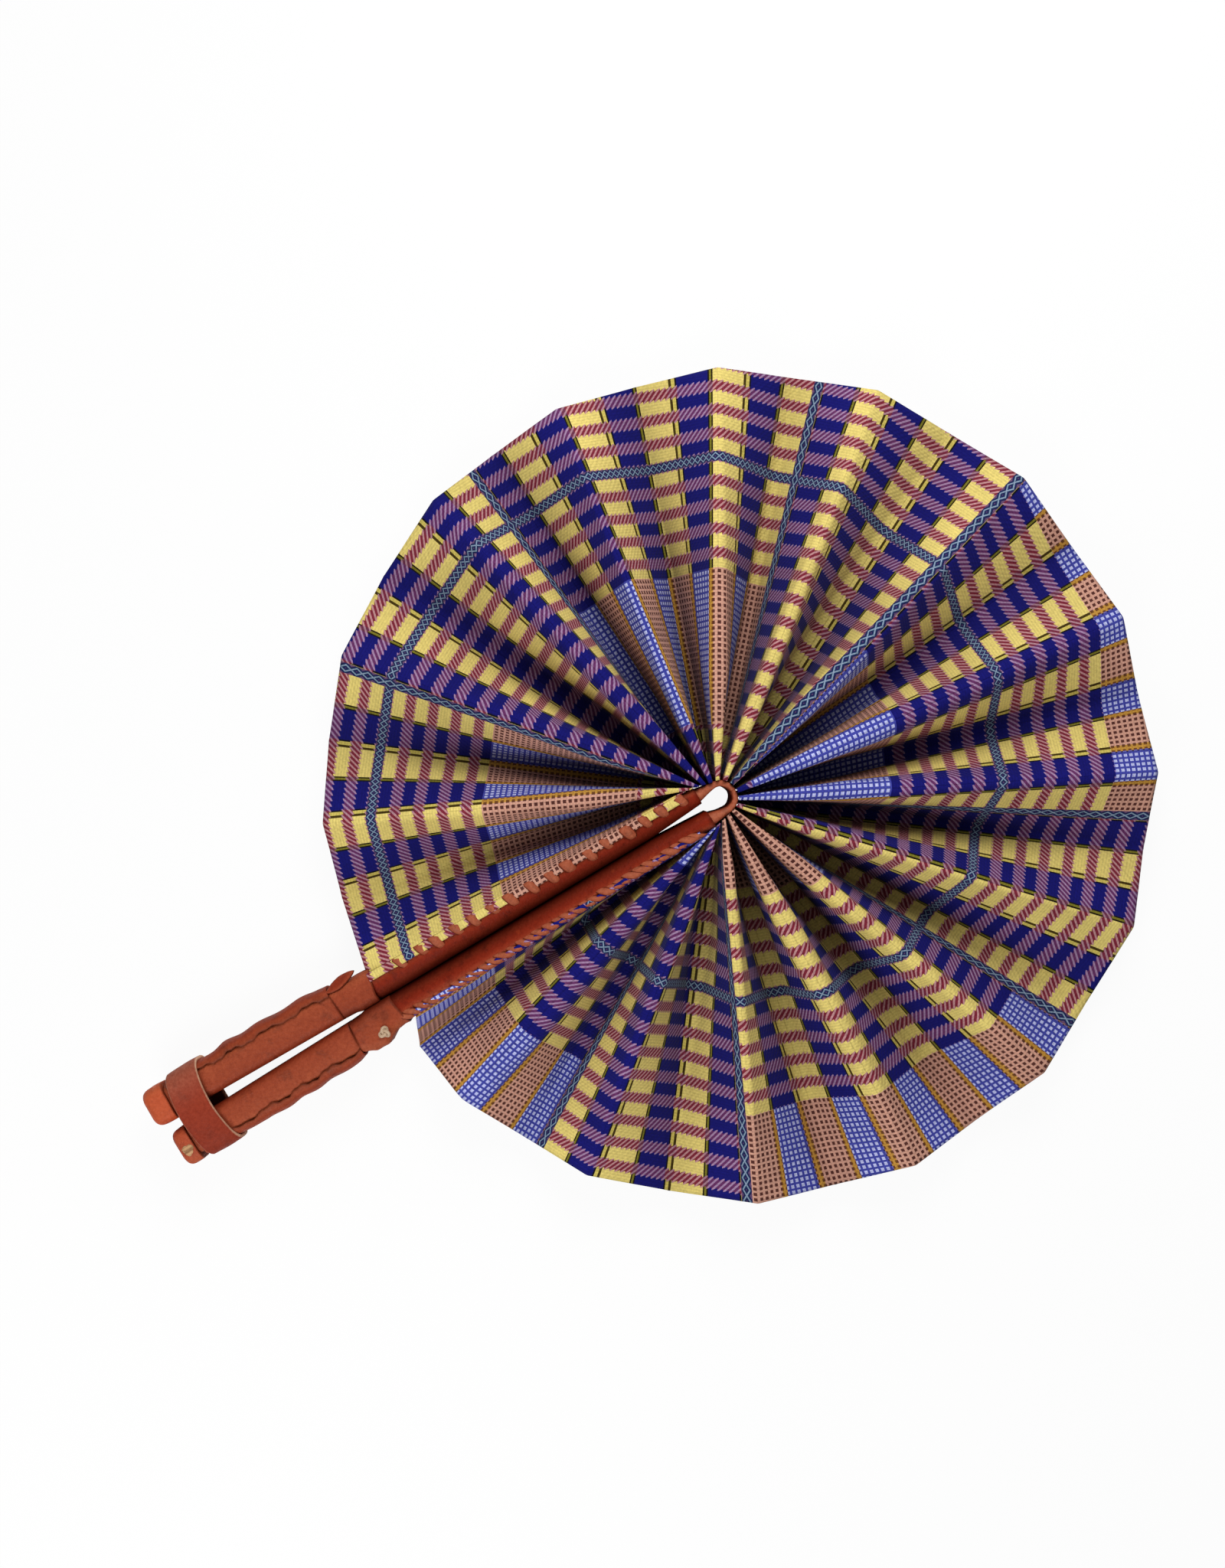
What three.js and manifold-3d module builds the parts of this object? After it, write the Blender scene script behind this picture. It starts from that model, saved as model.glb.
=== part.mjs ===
// Round folding hand fan: a pleated cloth leaf between two leather-covered sticks.
// Units are millimetres and +Z is up. The fan lies open and flat, its handle towards -Y.
import * as THREE from 'three';
import { mergeVertices } from 'three/addons/utils/BufferGeometryUtils.js';
import Module from 'manifold-3d';

const wasm = await Module();
wasm.setup();

// Clearance between neighbouring pieces.
const GAP = 0.3;

// Leaf. Panels are counted from the right stick, anticlockwise round the far side.
const PANELS = 32;
const MID_PANEL = 17; // the panel that points along +Y
const LEAF_THICKNESS = 0.6;
const RIM_RADIUS = 140.7;
const RIM_SHIFT_Y = 5.9; // the rim's circle is this far beyond the hub
const CROWDED_PANELS = 2; // panels squeezed together beside the right stick
const CROWDING = 0.643; // their share of the other panels' spread
const HUB_PITCH = 1.1; // distance between folds at the hub
const RIM_CHORD = 27.5; // and at the rim
const RIM_PLEAT = 10.677; // the pleats' height at the rim
const LEAF_INNER = 6.8; // the folds start this far from the hub at +Y
const LEAF_INNER_GAIN = 6.8; // and this much further out beside the sticks
const LEAF_SHORT = { left: 0.4, right: 7.3 }; // how far inside the rim the leaf meets a stick
const LEAF_STATIONS = [0, 0.14, 0.3, 0.46, 0.6, 0.72, 0.82, 0.91, 1];

// Sticks. w is across a stick (outwards), s runs from the hub along it, z is up.
const STICK_LEAN = 1.056; // degrees that each stick leans outwards
const STICK_OFFSET = 3.21; // a stick's middle at the hub
const BLADE_START = 8.3;
const BLADE_PAST_LEAF = 0.6; // the slat's leather ends this far beyond the leaf
const BLADE_STEPS = 26;
const BLADE_HALF = 4; // half the width of the leather-covered slat
const BLADE_INSET = 1.2; // the slat's edge lies this far inside the pleats' height
const BLADE_ROUND = 3;
const CORE_START = 28;
const SLAT_HALF = 2.3;
const SLAT_INSET = 3; // from the leather's edge to the slat's edge
const BAR_HALF = { w: 2.9, z: 4.2 };
const STEP = { past: 0.5, long: 0.6 }; // from slat to bar, just beyond the slat's leather
const GRIP_HALF = { w: 4.7, z: 6 };
const GRIP_LONG = 64.7;
const GRIP_ROUND = 3.2;
const COLLAR_SIZE = { long: 12.7, w: 5.3, z: 7, round: 3.4 };
const TIP_LONG = { left: 8.7, right: 6.5 };
const TIP_WALL = 1.6;
const TIP_WOOD = 3; // the wood stops this far inside the tip's end
const LAP = { from: 1, short: 2, thick: 1.7, z: 4.2, waves: 4.5, swing: 0.3, bulge: 0.2 };
const LACE = { from: 5.7, short: 4, pitch: 4.5, thick: 0.7, start: -10, low: 30, high: 50 };
const STRAP = { y: -1.8, outer: 7.4, inner: 4.1, end: 8, gapHalf: 1.5, bevel: 0.8 };
const STRAP_FLANK = [{ x: 2.1, y: -6.6 }, { x: 3.4, y: -4.6 }, { x: 4.1, y: -3 }];
const SLIT = [{ x: 0.95, s: 16 }, { x: 0.25, s: 27 }]; // the eye's narrowing slit
const SLIT_TOUCH = 2; // the blades lie together from this far beyond the slit
const KEEPER = { back: 14.5, long: 11.7, wall: 1.5, halfW: 14.35, round: 3.6, slack: 0.05 };
const KNOT = { w: 3.9, from: 3.4, rx: 1.3, ry: 1.1, rz: 0.8, sunk: 0.35 };

// The cloth between two folds, which spans a pleat at the rim.
const PANEL_WIDTH = Math.hypot(RIM_CHORD, RIM_PLEAT);

// Beside a stick the folds start on its face: the degrees from +Y to that point, and its s.
const INNER_FAR = LEAF_INNER + LEAF_INNER_GAIN;
const INNER_LEAN = Math.asin((STICK_OFFSET + BLADE_HALF + GAP + LEAF_THICKNESS / 2) / INNER_FAR);
const LEAF_INNER_SPAN = 180 - THREE.MathUtils.radToDeg(INNER_LEAN);
const LEAF_NEAR = INNER_FAR * Math.cos(INNER_LEAN);

// Places along a stick, worked out from the sizes above.
const RIM_BELOW = RIM_RADIUS - RIM_SHIFT_Y;
const LEAF_END = { left: RIM_BELOW - LEAF_SHORT.left, right: RIM_BELOW - LEAF_SHORT.right };
const BLADE_END = LEAF_END.left + BLADE_PAST_LEAF;
const STEP_START = BLADE_END + STEP.past;
const COLLAR = { ...COLLAR_SIZE, start: BLADE_END + GAP, end: BLADE_END + COLLAR_SIZE.long + GAP };
const GRIP = { start: COLLAR.end + GAP, end: COLLAR.end + GAP + GRIP_LONG };
const TIP_START = GRIP.end + GAP;
const TIP_END = { left: TIP_START + TIP_LONG.left, right: TIP_START + TIP_LONG.right };

const LEATHER = 0xa8452a;
const rad = THREE.MathUtils.degToRad;
const lerp = THREE.MathUtils.lerp;
const steps = (n) => Array.from({ length: n + 1 }, (_, i) => i / n);

// Half the pleats' height, where v runs from the hub (0) to the rim (1).
function pleatHalf(v) {
  const c = lerp(HUB_PITCH, RIM_CHORD, THREE.MathUtils.clamp(v, 0, 1));
  return Math.sqrt(PANEL_WIDTH ** 2 - c ** 2) / 2;
}

// A place's share of the leaf's way along a stick, and the leather-covered slat's half depth.
const alongStick = (s) => (s - LEAF_NEAR) / (LEAF_END.left - LEAF_NEAR);
const bladeDepth = (s) => Math.max(GRIP_HALF.z, pleatHalf(alongStick(s)) - BLADE_INSET);

// A point of the left (side -1) or right (side 1) stick.
function onStick(side, w, s, z) {
  const a = rad(STICK_LEAN);
  const x = STICK_OFFSET + s * Math.sin(a) + w * Math.cos(a);
  return new THREE.Vector3(side * x, -s * Math.cos(a) + w * Math.sin(a), z);
}

// Degrees from +Y to the leaf's edge on a stick, at the rim.
function halfSpan(side) {
  const end = onStick(side, BLADE_HALF, side < 0 ? LEAF_END.left : LEAF_END.right, 0);
  return 180 - THREE.MathUtils.radToDeg(Math.atan2(Math.abs(end.x), -end.y));
}

// Degrees from +Y, anticlockwise, of the fold between panels i and i + 1.
function foldAngle(i) {
  const k = i - (MID_PANEL - 0.5);
  if (k > 0) return (k * halfSpan(-1)) / (PANELS - MID_PANEL + 0.5);
  const even = MID_PANEL - 0.5 - CROWDED_PANELS;
  const pitch = halfSpan(1) / (even + CROWDED_PANELS * CROWDING);
  if (i >= CROWDED_PANELS) return k * pitch;
  return -even * pitch - (CROWDED_PANELS - i) * CROWDING * pitch;
}

// The same for the fold's inner end, where the folds crowd round the hub strap.
function innerAngle(i) {
  const k = i - (MID_PANEL - 0.5);
  const most = k > 0 ? PANELS - MID_PANEL + 0.5 : MID_PANEL - 0.5;
  return (k / most) * LEAF_INNER_SPAN;
}

function polar(radius, degrees) {
  const a = rad(degrees);
  return new THREE.Vector2(-radius * Math.sin(a), radius * Math.cos(a));
}

// The fold's plan line, from its inner end to its end at the rim.
function foldLine(i) {
  const share = Math.abs(innerAngle(i)) / LEAF_INNER_SPAN;
  const start = polar(LEAF_INNER + LEAF_INNER_GAIN * share ** 2.5, innerAngle(i));
  if (i === 0 || i === PANELS) {
    const side = i === 0 ? 1 : -1;
    const w = BLADE_HALF + GAP + LEAF_THICKNESS / 2;
    const a = onStick(side, w, -start.y, 0);
    const b = onStick(side, w, i === 0 ? LEAF_END.right : LEAF_END.left, 0);
    return [new THREE.Vector2(a.x, a.y), new THREE.Vector2(b.x, b.y)];
  }
  const a = rad(foldAngle(i));
  const far = RIM_SHIFT_Y * Math.cos(a)
    + Math.sqrt(RIM_RADIUS ** 2 - (RIM_SHIFT_Y * Math.sin(a)) ** 2);
  return [start, polar(far, foldAngle(i))];
}

// Even folds are ridges and odd ones valleys; the leaf's two edges lie on the sticks.
function foldHeight(i, v) {
  if (i === 0 || i === PANELS) return pleatHalf(v) - BLADE_INSET + 0.2;
  return (i % 2 ? -1 : 1) * pleatHalf(v);
}

// A closed body through rings of points, each ring with the same number of points. A sheet's
// second half of each ring is its underside, split along the same diagonals as its top.
function loft(rings, sheet = false) {
  const n = rings[0].length;
  const points = rings.flat();
  const index = [];
  for (let j = 0; j + 1 < rings.length; j++) {
    for (let i = 0; i < n; i++) {
      const a = j * n + i;
      const b = j * n + ((i + 1) % n);
      if (sheet && i >= n / 2) index.push(a, b, a + n, b, b + n, a + n);
      else index.push(a, b, b + n, a, b + n, a + n);
    }
  }
  for (const [ring, flip] of [[0, true], [rings.length - 1, false]]) {
    const middle = new THREE.Vector3();
    rings[ring].forEach((p) => middle.addScaledVector(p, 1 / n));
    const c = points.push(middle) - 1;
    for (let i = 0; i < n; i++) {
      const a = ring * n + i;
      const b = ring * n + ((i + 1) % n);
      index.push(...(flip ? [c, b, a] : [c, a, b]));
    }
  }
  let volume = 0;
  for (let k = 0; k < index.length; k += 3) {
    const [a, b, c] = [points[index[k]], points[index[k + 1]], points[index[k + 2]]];
    volume += a.dot(b.clone().cross(c));
  }
  if (volume < 0) index.reverse();
  const geometry = new THREE.BufferGeometry().setFromPoints(points);
  geometry.setIndex(index);
  return geometry;
}

function toManifold(geometry) {
  const bare = new THREE.BufferGeometry();
  bare.setAttribute('position', geometry.getAttribute('position').clone());
  if (geometry.index) bare.setIndex(geometry.index.clone());
  const merged = mergeVertices(bare, 1e-4);
  return new wasm.Manifold(new wasm.Mesh({
    numProp: 3,
    vertProperties: new Float32Array(merged.getAttribute('position').array),
    triVerts: new Uint32Array(merged.index.array),
  }));
}

function fromManifold(body) {
  const mesh = body.getMesh();
  const geometry = new THREE.BufferGeometry();
  geometry.setAttribute('position', new THREE.BufferAttribute(mesh.vertProperties, 3));
  geometry.setIndex(new THREE.BufferAttribute(mesh.triVerts, 1));
  return geometry;
}

const cut = (body, ...tools) => fromManifold(
  tools.reduce((left, tool) => left.subtract(toManifold(tool)), toManifold(body)),
);

// A ring of points round a stick: a rectangle with rounded corners.
function section(side, s, halfW, halfZ, round, segments = 3) {
  const r = Math.min(round, halfW - 0.01, halfZ - 0.01);
  const ring = [];
  for (const [sw, sz, start] of [[1, 1, 0], [-1, 1, 90], [-1, -1, 180], [1, -1, 270]]) {
    for (const t of steps(segments)) {
      const a = rad(start + 90 * t);
      const w = sw * (halfW - r) + r * Math.cos(a);
      ring.push(onStick(side, w, s, sz * (halfZ - r) + r * Math.sin(a)));
    }
  }
  return ring;
}

function leafPanel(k) {
  const [a, b] = [k - 1, k];
  const [lineA, lineB] = [foldLine(a), foldLine(b)];
  const edge = (line, i, v) => {
    const p = line[0].clone().lerp(line[1], v);
    return new THREE.Vector3(p.x, p.y, foldHeight(i, v));
  };
  // The surface between its two folds, each edge drawn back from its fold.
  const at = (u, v) => {
    const [p, q] = [edge(lineA, a, v), edge(lineB, b, v)];
    const along = lineA[1].clone().sub(lineA[0]).add(lineB[1].clone().sub(lineB[0]));
    along.normalize();
    const across = new THREE.Vector3(-along.y, along.x, 0);
    const steep = Math.abs(p.z - q.z) / p.distanceTo(q);
    const back = GAP / 2 + (LEAF_THICKNESS / 2) * steep;
    if (a > 0) p.addScaledVector(across, back);
    if (b < PANELS) q.addScaledVector(across, -back);
    return p.lerp(q, u);
  };
  const rings = LEAF_STATIONS.map((v) => {
    const [top, under] = [[], []];
    for (const u of [0, 0.5, 1]) {
      const p = at(u, v);
      const du = at(1, v).sub(at(0, v));
      const dv = at(u, Math.min(1, v + 0.01)).sub(at(u, Math.max(0, v - 0.01)));
      const normal = du.cross(dv).normalize().multiplyScalar(LEAF_THICKNESS / 2);
      top.push(p.clone().add(normal));
      under.unshift(p.clone().sub(normal));
    }
    return [...top, ...under];
  });
  return loft(rings, true);
}

// The stick's wood: a slat inside the leaf that becomes a bar inside the handle.
function coreSolid(side, grow, end) {
  const slat = steps(8).map((t) => {
    const s = lerp(CORE_START, STEP_START, t);
    return [s, SLAT_HALF, Math.max(BAR_HALF.z, bladeDepth(s) - SLAT_INSET)];
  });
  slat[0][0] -= grow;
  const stations = [
    ...slat,
    [STEP_START + STEP.long, BAR_HALF.w, BAR_HALF.z],
    [end + grow, BAR_HALF.w, BAR_HALF.z],
  ];
  return loft(stations.map(([s, w, z]) => section(side, s, w + grow, z + grow, 1, 1)));
}

// Leather over the slat, open at the collar and cut back beside the eye at the hub.
function bladeWrap(side) {
  const body = loft(steps(BLADE_STEPS).map((t) => {
    const s = lerp(BLADE_START, BLADE_END, t);
    return section(side, s, BLADE_HALF, bladeDepth(s), BLADE_ROUND);
  }));
  const far = SLIT.at(-1).s + SLIT_TOUCH;
  const eye = [[-2 * BLADE_HALF, 0], [STRAP.gapHalf, 0], [STRAP.gapHalf, -BLADE_START],
    ...SLIT.map(({ x, s }) => [x, -s]), [GAP * 0.7, -far], [GAP * 0.7, -2 * far],
    [-2 * BLADE_HALF, -2 * far]];
  const shape = new THREE.Shape(eye.map(([x, y]) => new THREE.Vector2(side * x, y)));
  const depth = 2 * PANEL_WIDTH;
  const wedge = new THREE.ExtrudeGeometry(shape, { depth, bevelEnabled: false });
  wedge.translate(0, 0, -depth / 2);
  return cut(body, wedge, coreSolid(side, GAP, COLLAR.end));
}

// A toothed strip over the slat's outer edge; up is 1 on top and -1 underneath.
function lace(side, up) {
  const start = BLADE_START + LACE.from;
  const count = Math.round((BLADE_END - LACE.short - start) / LACE.pitch);
  const rings = [];
  for (let j = 0; j <= 2 * count; j++) {
    const s = start + (j * LACE.pitch) / 2;
    const last = j % 2 ? LACE.high : LACE.low;
    const ring = [];
    const point = (angle, r) => {
      const a = rad(angle);
      const z = bladeDepth(s) - BLADE_ROUND + r * Math.cos(a);
      ring.push(onStick(side, BLADE_HALF - BLADE_ROUND + r * Math.sin(a), s, up * z));
    };
    for (const t of steps(2)) point(lerp(LACE.start, last, t), BLADE_ROUND + GAP);
    for (const t of steps(2)) point(lerp(last, LACE.start, t), BLADE_ROUND + GAP + LACE.thick);
    rings.push(ring);
  }
  return loft(rings);
}

function sleeve(side, { start, end, w, z, round }) {
  return cut(
    loft([start, end].map((s) => section(side, s, w, z, round))),
    coreSolid(side, GAP, TIP_END.left),
  );
}

// The sleeve's lapped seam, a wavy roll of leather along the outer side.
function gripLap(side) {
  return loft(steps(24).map((t) => {
    const s = lerp(GRIP.start + LAP.from - GAP, GRIP.end - LAP.short, t);
    const wave = Math.sin(t * LAP.waves * 2 * Math.PI);
    const w = GRIP_HALF.w + GAP;
    const reach = (LAP.thick + LAP.swing * wave) * Math.min(1, 0.45 + 4 * Math.min(t, 1 - t));
    const ring = [onStick(side, w, s, -LAP.z)];
    for (const a of [-60, -25, 25, 60]) {
      const z = (LAP.z + LAP.bulge * wave) * Math.sin(rad(a));
      ring.push(onStick(side, w + reach * (0.35 + 0.65 * Math.cos(rad(a))), s, z));
    }
    ring.push(onStick(side, w, s, LAP.z));
    return ring;
  }));
}

function tipCap(side, end) {
  const dome = [[0, 1], [0.45, 1], [0.68, 0.93], [0.85, 0.78], [0.96, 0.52], [1, 0.3]];
  const body = loft(dome.map(([t, k]) => section(
    side, lerp(TIP_START, end, t), GRIP_HALF.w * k, GRIP_HALF.z * (0.25 + 0.75 * k), GRIP_ROUND * k,
  )));
  return cut(body, coreSolid(side, GAP, end - TIP_WALL - GAP));
}

function hubStrap() {
  const { y, outer, inner, end, gapHalf, bevel } = STRAP;
  const flank = [{ x: gapHalf, y: -end }, ...STRAP_FLANK];
  const legOuter = onStick(1, BLADE_HALF, end, 0).x;
  const shape = new THREE.Shape();
  shape.moveTo(legOuter - bevel, -end + bevel);
  for (const t of steps(14)) {
    const a = Math.PI * t;
    shape.lineTo((outer - bevel) * Math.cos(a), y + (outer - bevel) * Math.sin(a));
  }
  shape.lineTo(-legOuter + bevel, -end + bevel);
  for (const p of flank) shape.lineTo(-p.x - bevel, Math.max(p.y, -end + bevel));
  for (const t of steps(10)) {
    const a = Math.PI * (1 - t);
    shape.lineTo((inner + bevel) * Math.cos(a), y + (inner + bevel) * Math.sin(a));
  }
  for (const p of flank.reverse()) shape.lineTo(p.x + bevel, Math.max(p.y, -end + bevel));
  const half = bladeDepth(end);
  const body = new THREE.ExtrudeGeometry(shape, {
    depth: 2 * (half - bevel), bevelThickness: bevel, bevelSize: bevel, bevelSegments: 2,
    curveSegments: 1,
  });
  body.translate(0, 0, -(half - bevel));
  return body;
}

function keeperLoop() {
  const { long, wall, halfW, round } = KEEPER;
  const start = GRIP.end - KEEPER.back;
  const halfZ = GRIP_HALF.z + GAP + KEEPER.slack;
  const ring = (y, grow) => {
    const r = round + grow;
    const points = [];
    for (const [sx, sz, a0] of [[1, 1, 0], [-1, 1, 90], [-1, -1, 180], [1, -1, 270]]) {
      for (const t of steps(4)) {
        const a = rad(a0 + 90 * t);
        points.push(new THREE.Vector3(
          sx * (halfW - round) + r * Math.cos(a), y, sz * (halfZ - round) + r * Math.sin(a),
        ));
      }
    }
    return points;
  };
  return cut(
    loft([ring(-start, wall), ring(-start - long, wall)]),
    loft([ring(-start + wall, 0), ring(-start - long - wall, 0)]),
  );
}

function collarKnot() {
  const knot = new THREE.IcosahedronGeometry(1, 2);
  knot.scale(KNOT.rx, KNOT.ry, KNOT.rz);
  const z = COLLAR.z + GAP * 0.7 + KNOT.rz - KNOT.sunk;
  const p = onStick(1, KNOT.w, COLLAR.start + KNOT.from, z);
  knot.translate(p.x, p.y, p.z);
  return knot;
}

const group = new THREE.Group();
function add(name, geometry, color, roughness = 0.7) {
  const mesh = new THREE.Mesh(
    geometry,
    new THREE.MeshStandardMaterial({ color, roughness, metalness: 0 }),
  );
  mesh.name = name;
  group.add(mesh);
}

for (let k = 1; k <= PANELS; k++) {
  add(`leaf_panel_${String(k).padStart(2, '0')}`, leafPanel(k), 0x2a2a86, 0.85);
}
for (const [label, side] of [['left', -1], ['right', 1]]) {
  add(`stick_core_${label}`, coreSolid(side, 0, TIP_END[label] - TIP_WOOD), 0xd8b98a);
  add(`blade_wrap_${label}`, bladeWrap(side), LEATHER, 0.5);
  add(`blade_lace_top_${label}`, lace(side, 1), 0xb5482c, 0.6);
  add(`blade_lace_bottom_${label}`, lace(side, -1), 0xb5482c, 0.6);
  add(`collar_${label}`, sleeve(side, COLLAR), 0x9c3c24, 0.5);
  add(`grip_sleeve_${label}`, sleeve(side, {
    ...GRIP, ...GRIP_HALF, round: GRIP_ROUND,
  }), LEATHER, 0.5);
  add(`grip_lap_${label}`, gripLap(side), 0x8f3a22, 0.55);
  add(`tip_cap_${label}`, tipCap(side, TIP_END[label]), 0xa04028, 0.5);
}
add('hub_strap', hubStrap(), 0xb5482c, 0.5);
add('keeper_loop', keeperLoop(), 0x96402a, 0.5);
add('collar_knot', collarKnot(), 0xe4d6bc, 0.9);

// The origin goes under the middle of the whole fan, on the surface that it lies on.
const box = new THREE.Box3().setFromObject(group);
const shift = new THREE.Vector3(0, -(box.min.y + box.max.y) / 2, -box.min.z);
group.children.forEach((mesh) => mesh.geometry.translate(shift.x, shift.y, shift.z));

export default group;
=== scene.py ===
"""Dresses the round folding hand fan: pleated cloth leaf, two leather-covered sticks and their ring.

Lengths in the classes are millimetres from the hub, as a maker would write them: s runs from the hub
along a stick, w across it (outwards), z up out of the leaf.
"""

from __future__ import annotations

import logging
import math
from dataclasses import dataclass
from enum import Enum

import bpy
import numpy as np
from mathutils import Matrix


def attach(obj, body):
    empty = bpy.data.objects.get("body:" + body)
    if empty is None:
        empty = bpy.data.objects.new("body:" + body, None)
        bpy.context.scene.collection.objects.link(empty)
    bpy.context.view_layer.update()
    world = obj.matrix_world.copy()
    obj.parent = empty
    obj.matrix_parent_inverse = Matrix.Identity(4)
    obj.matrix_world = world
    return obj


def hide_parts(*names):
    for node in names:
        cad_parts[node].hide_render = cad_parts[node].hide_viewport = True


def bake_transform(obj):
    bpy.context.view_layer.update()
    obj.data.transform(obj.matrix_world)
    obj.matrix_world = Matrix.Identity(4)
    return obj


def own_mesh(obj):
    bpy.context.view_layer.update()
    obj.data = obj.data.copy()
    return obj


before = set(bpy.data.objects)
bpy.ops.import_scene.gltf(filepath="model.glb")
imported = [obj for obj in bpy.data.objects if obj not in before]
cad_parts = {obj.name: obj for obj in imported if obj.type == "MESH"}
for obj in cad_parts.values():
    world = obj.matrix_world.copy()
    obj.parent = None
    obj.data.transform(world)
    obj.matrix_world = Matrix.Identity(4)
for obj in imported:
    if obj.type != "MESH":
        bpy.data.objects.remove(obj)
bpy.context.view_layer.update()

Piece = bpy.types.Object
Array = np.ndarray
Stops = tuple[tuple[float, str], ...]  # a colour ramp's places and sRGB hex colours

MM = 0.001
HUB = np.array([0.0, 38.017, 14.749])  # the hub's place in the row frame, in millimetres
AROUND = 6.283  # a full turn, as near as random directions need it
LOG = logging.getLogger("hand_fan")


class Side(Enum):
    """The two sticks, by the side of the row frame that they lie on."""

    LEFT = -1
    RIGHT = 1

    @property
    def label(self) -> str:
        """The side's word in node and body names."""
        return self.name.lower()


class Face(Enum):
    """The front and the back of the leaf."""

    FRONT = 1
    BACK = -1

    @property
    def label(self) -> str:
        """The face's word in node names."""
        return "top" if self is Face.FRONT else "bottom"


# Meshes


def skin(
    name: str,
    points: Array,
    uv: Array | None = None,
    wrap: bool = False,
    marks: dict[str, Array] | None = None,
    ring: bool = False,
) -> Piece:
    """Makes a mesh from one or more grids of points.

    Quad (i, j) joins points (i, j), (i, j + 1), (i + 1, j + 1) and (i + 1, j). With wrap the last
    column joins the first and both ends are closed by one flat face, or with ring the last row joins
    the first, so each grid is a closed body, which is turned round if its signed volume, the sum of
    a . (b x c) / 6, is negative.

    Args:
        name: The piece's name.
        points: Array (grids, rows, columns, 3) or (rows, columns, 3), in millimetres from the hub.
        uv: Array like points with 2 values, in metres along the cloth, or None.
        wrap: True for a tube, False for an open sheet.
        marks: Named numbers per point, such as wear, for the material.
        ring: True for a tube whose two ends meet.

    Returns:
        The new object, with smooth faces, at the origin.
    """
    grids = points if points.ndim == 4 else points[None]
    count, rows, columns = grids.shape[:3]
    index = np.arange(count * rows * columns).reshape(count, rows, columns)
    around = np.concatenate([index, index[:, :, :1]], axis=2) if wrap else index
    around = np.concatenate([around, around[:, :1]], axis=1) if ring else around
    quads = np.stack(
        [around[:, :-1, :-1], around[:, :-1, 1:], around[:, 1:, 1:], around[:, 1:, :-1]], axis=-1
    ).reshape(count, -1, 4)
    flat = (grids.reshape(-1, 3) + HUB) * MM
    faces: list[list[int]] = []
    for k in range(count):
        body = quads[k]
        ends = [index[k, 0], index[k, -1][::-1]] if wrap and not ring else []
        if wrap:
            a, b, c, d = (flat[body[:, i]] - flat[body[0, 0]] for i in range(4))
            volume = np.einsum("ij,ij->", a, np.cross(b, c)) + np.einsum("ij,ij->", a, np.cross(c, d))
            if volume < 0:
                body = body[:, ::-1]
                ends = [e[::-1] for e in ends]
        faces += body.tolist() + [e[::-1].tolist() for e in ends]
    mesh = bpy.data.meshes.new(name)
    mesh.from_pydata(flat.tolist(), [], faces)
    mesh.polygons.foreach_set("use_smooth", np.ones(len(mesh.polygons), bool))
    corner = np.zeros(len(mesh.loops), np.int32)
    mesh.loops.foreach_get("vertex_index", corner)
    if uv is not None:
        layer = mesh.uv_layers.new(name="weave")
        layer.data.foreach_set("uv", uv.reshape(-1, 2)[corner].astype(np.float32).ravel())
    for key, values in (marks or {}).items():
        mark = mesh.attributes.new(key, "FLOAT", "POINT")
        mark.data.foreach_set("value", np.asarray(values, np.float32).ravel())
    mesh.update()
    made = bpy.data.objects.new(name, mesh)
    bpy.context.scene.collection.objects.link(made)
    return made


def solidify(piece: Piece, thickness: float) -> None:
    """Gives a sheet its thickness in millimetres, half of it to each side."""
    wall = piece.modifiers.new("thickness", "SOLIDIFY")
    wall.thickness, wall.offset, wall.use_even_offset = thickness * MM, 0.0, False


def soften_edges(piece: Piece, width: float) -> None:
    """Rounds a closed piece's edges sharper than 50 degrees, by width millimetres."""
    bevel = piece.modifiers.new("edges", "BEVEL")
    bevel.width, bevel.segments = width * MM, 2
    bevel.limit_method, bevel.angle_limit = "ANGLE", math.radians(50)


def ripple(a: Array, b: Array, wavelength: float, seed: int) -> Array:
    """A smooth random height from -1 to 1: the mean of six sines of a and b in random directions.

    Args:
        a: First place, in millimetres.
        b: Second place, in millimetres.
        wavelength: The mean distance between crests, in millimetres.
        seed: Chooses the directions, so that each run is the same.

    Returns:
        Heights, shaped as a and b together.
    """
    chance = np.random.default_rng(seed)
    total = np.zeros(np.broadcast(a, b).shape)
    sines = 6
    for _ in range(sines):
        turn, phase, scale = chance.uniform(0, AROUND), chance.uniform(0, AROUND), chance.uniform(0.7, 1.5)
        k = AROUND / (wavelength * scale)
        total += np.sin(k * (a * math.cos(turn) + b * math.sin(turn)) + phase)
    return total / sines


def rounded_ring(
    low: Array, high: Array, deep: Array, inner: Array, outer: Array, steps: int, tall: Array | None = None
) -> tuple[Array, Array]:
    """A rectangle with rounded corners at each station, from w = low to high and z = -deep to deep.

    Corner k's points are its centre plus (a cos t, b sin t), t from 90 k to 90 (k + 1) degrees.

    Args:
        low: Inner side's w at each station.
        high: Outer side's w at each station.
        deep: Half the depth at each station.
        inner: The two inner corners' a.
        outer: The two outer corners' a, and their b.
        steps: Steps round a corner.
        tall: The inner corners' b, or None for the same as their a.

    Returns:
        w and z, arrays (stations, 4 (steps + 1)), anticlockwise from the outer side.
    """
    turn = np.linspace(0, math.pi / 2, steps + 1)
    across, up = [], []
    for k, (out, top) in enumerate(((True, 1), (False, 1), (False, -1), (True, -1))):
        a = (outer if out else inner)[:, None]
        b = a if out or tall is None else tall[:, None]
        centre = (high[:, None] - a) if out else (low[:, None] + a)
        across.append(centre + a * np.cos(turn + k * math.pi / 2))
        up.append(top * (deep[:, None] - b) + b * np.sin(turn + k * math.pi / 2))
    return np.concatenate(across, axis=1), np.concatenate(up, axis=1)


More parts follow.
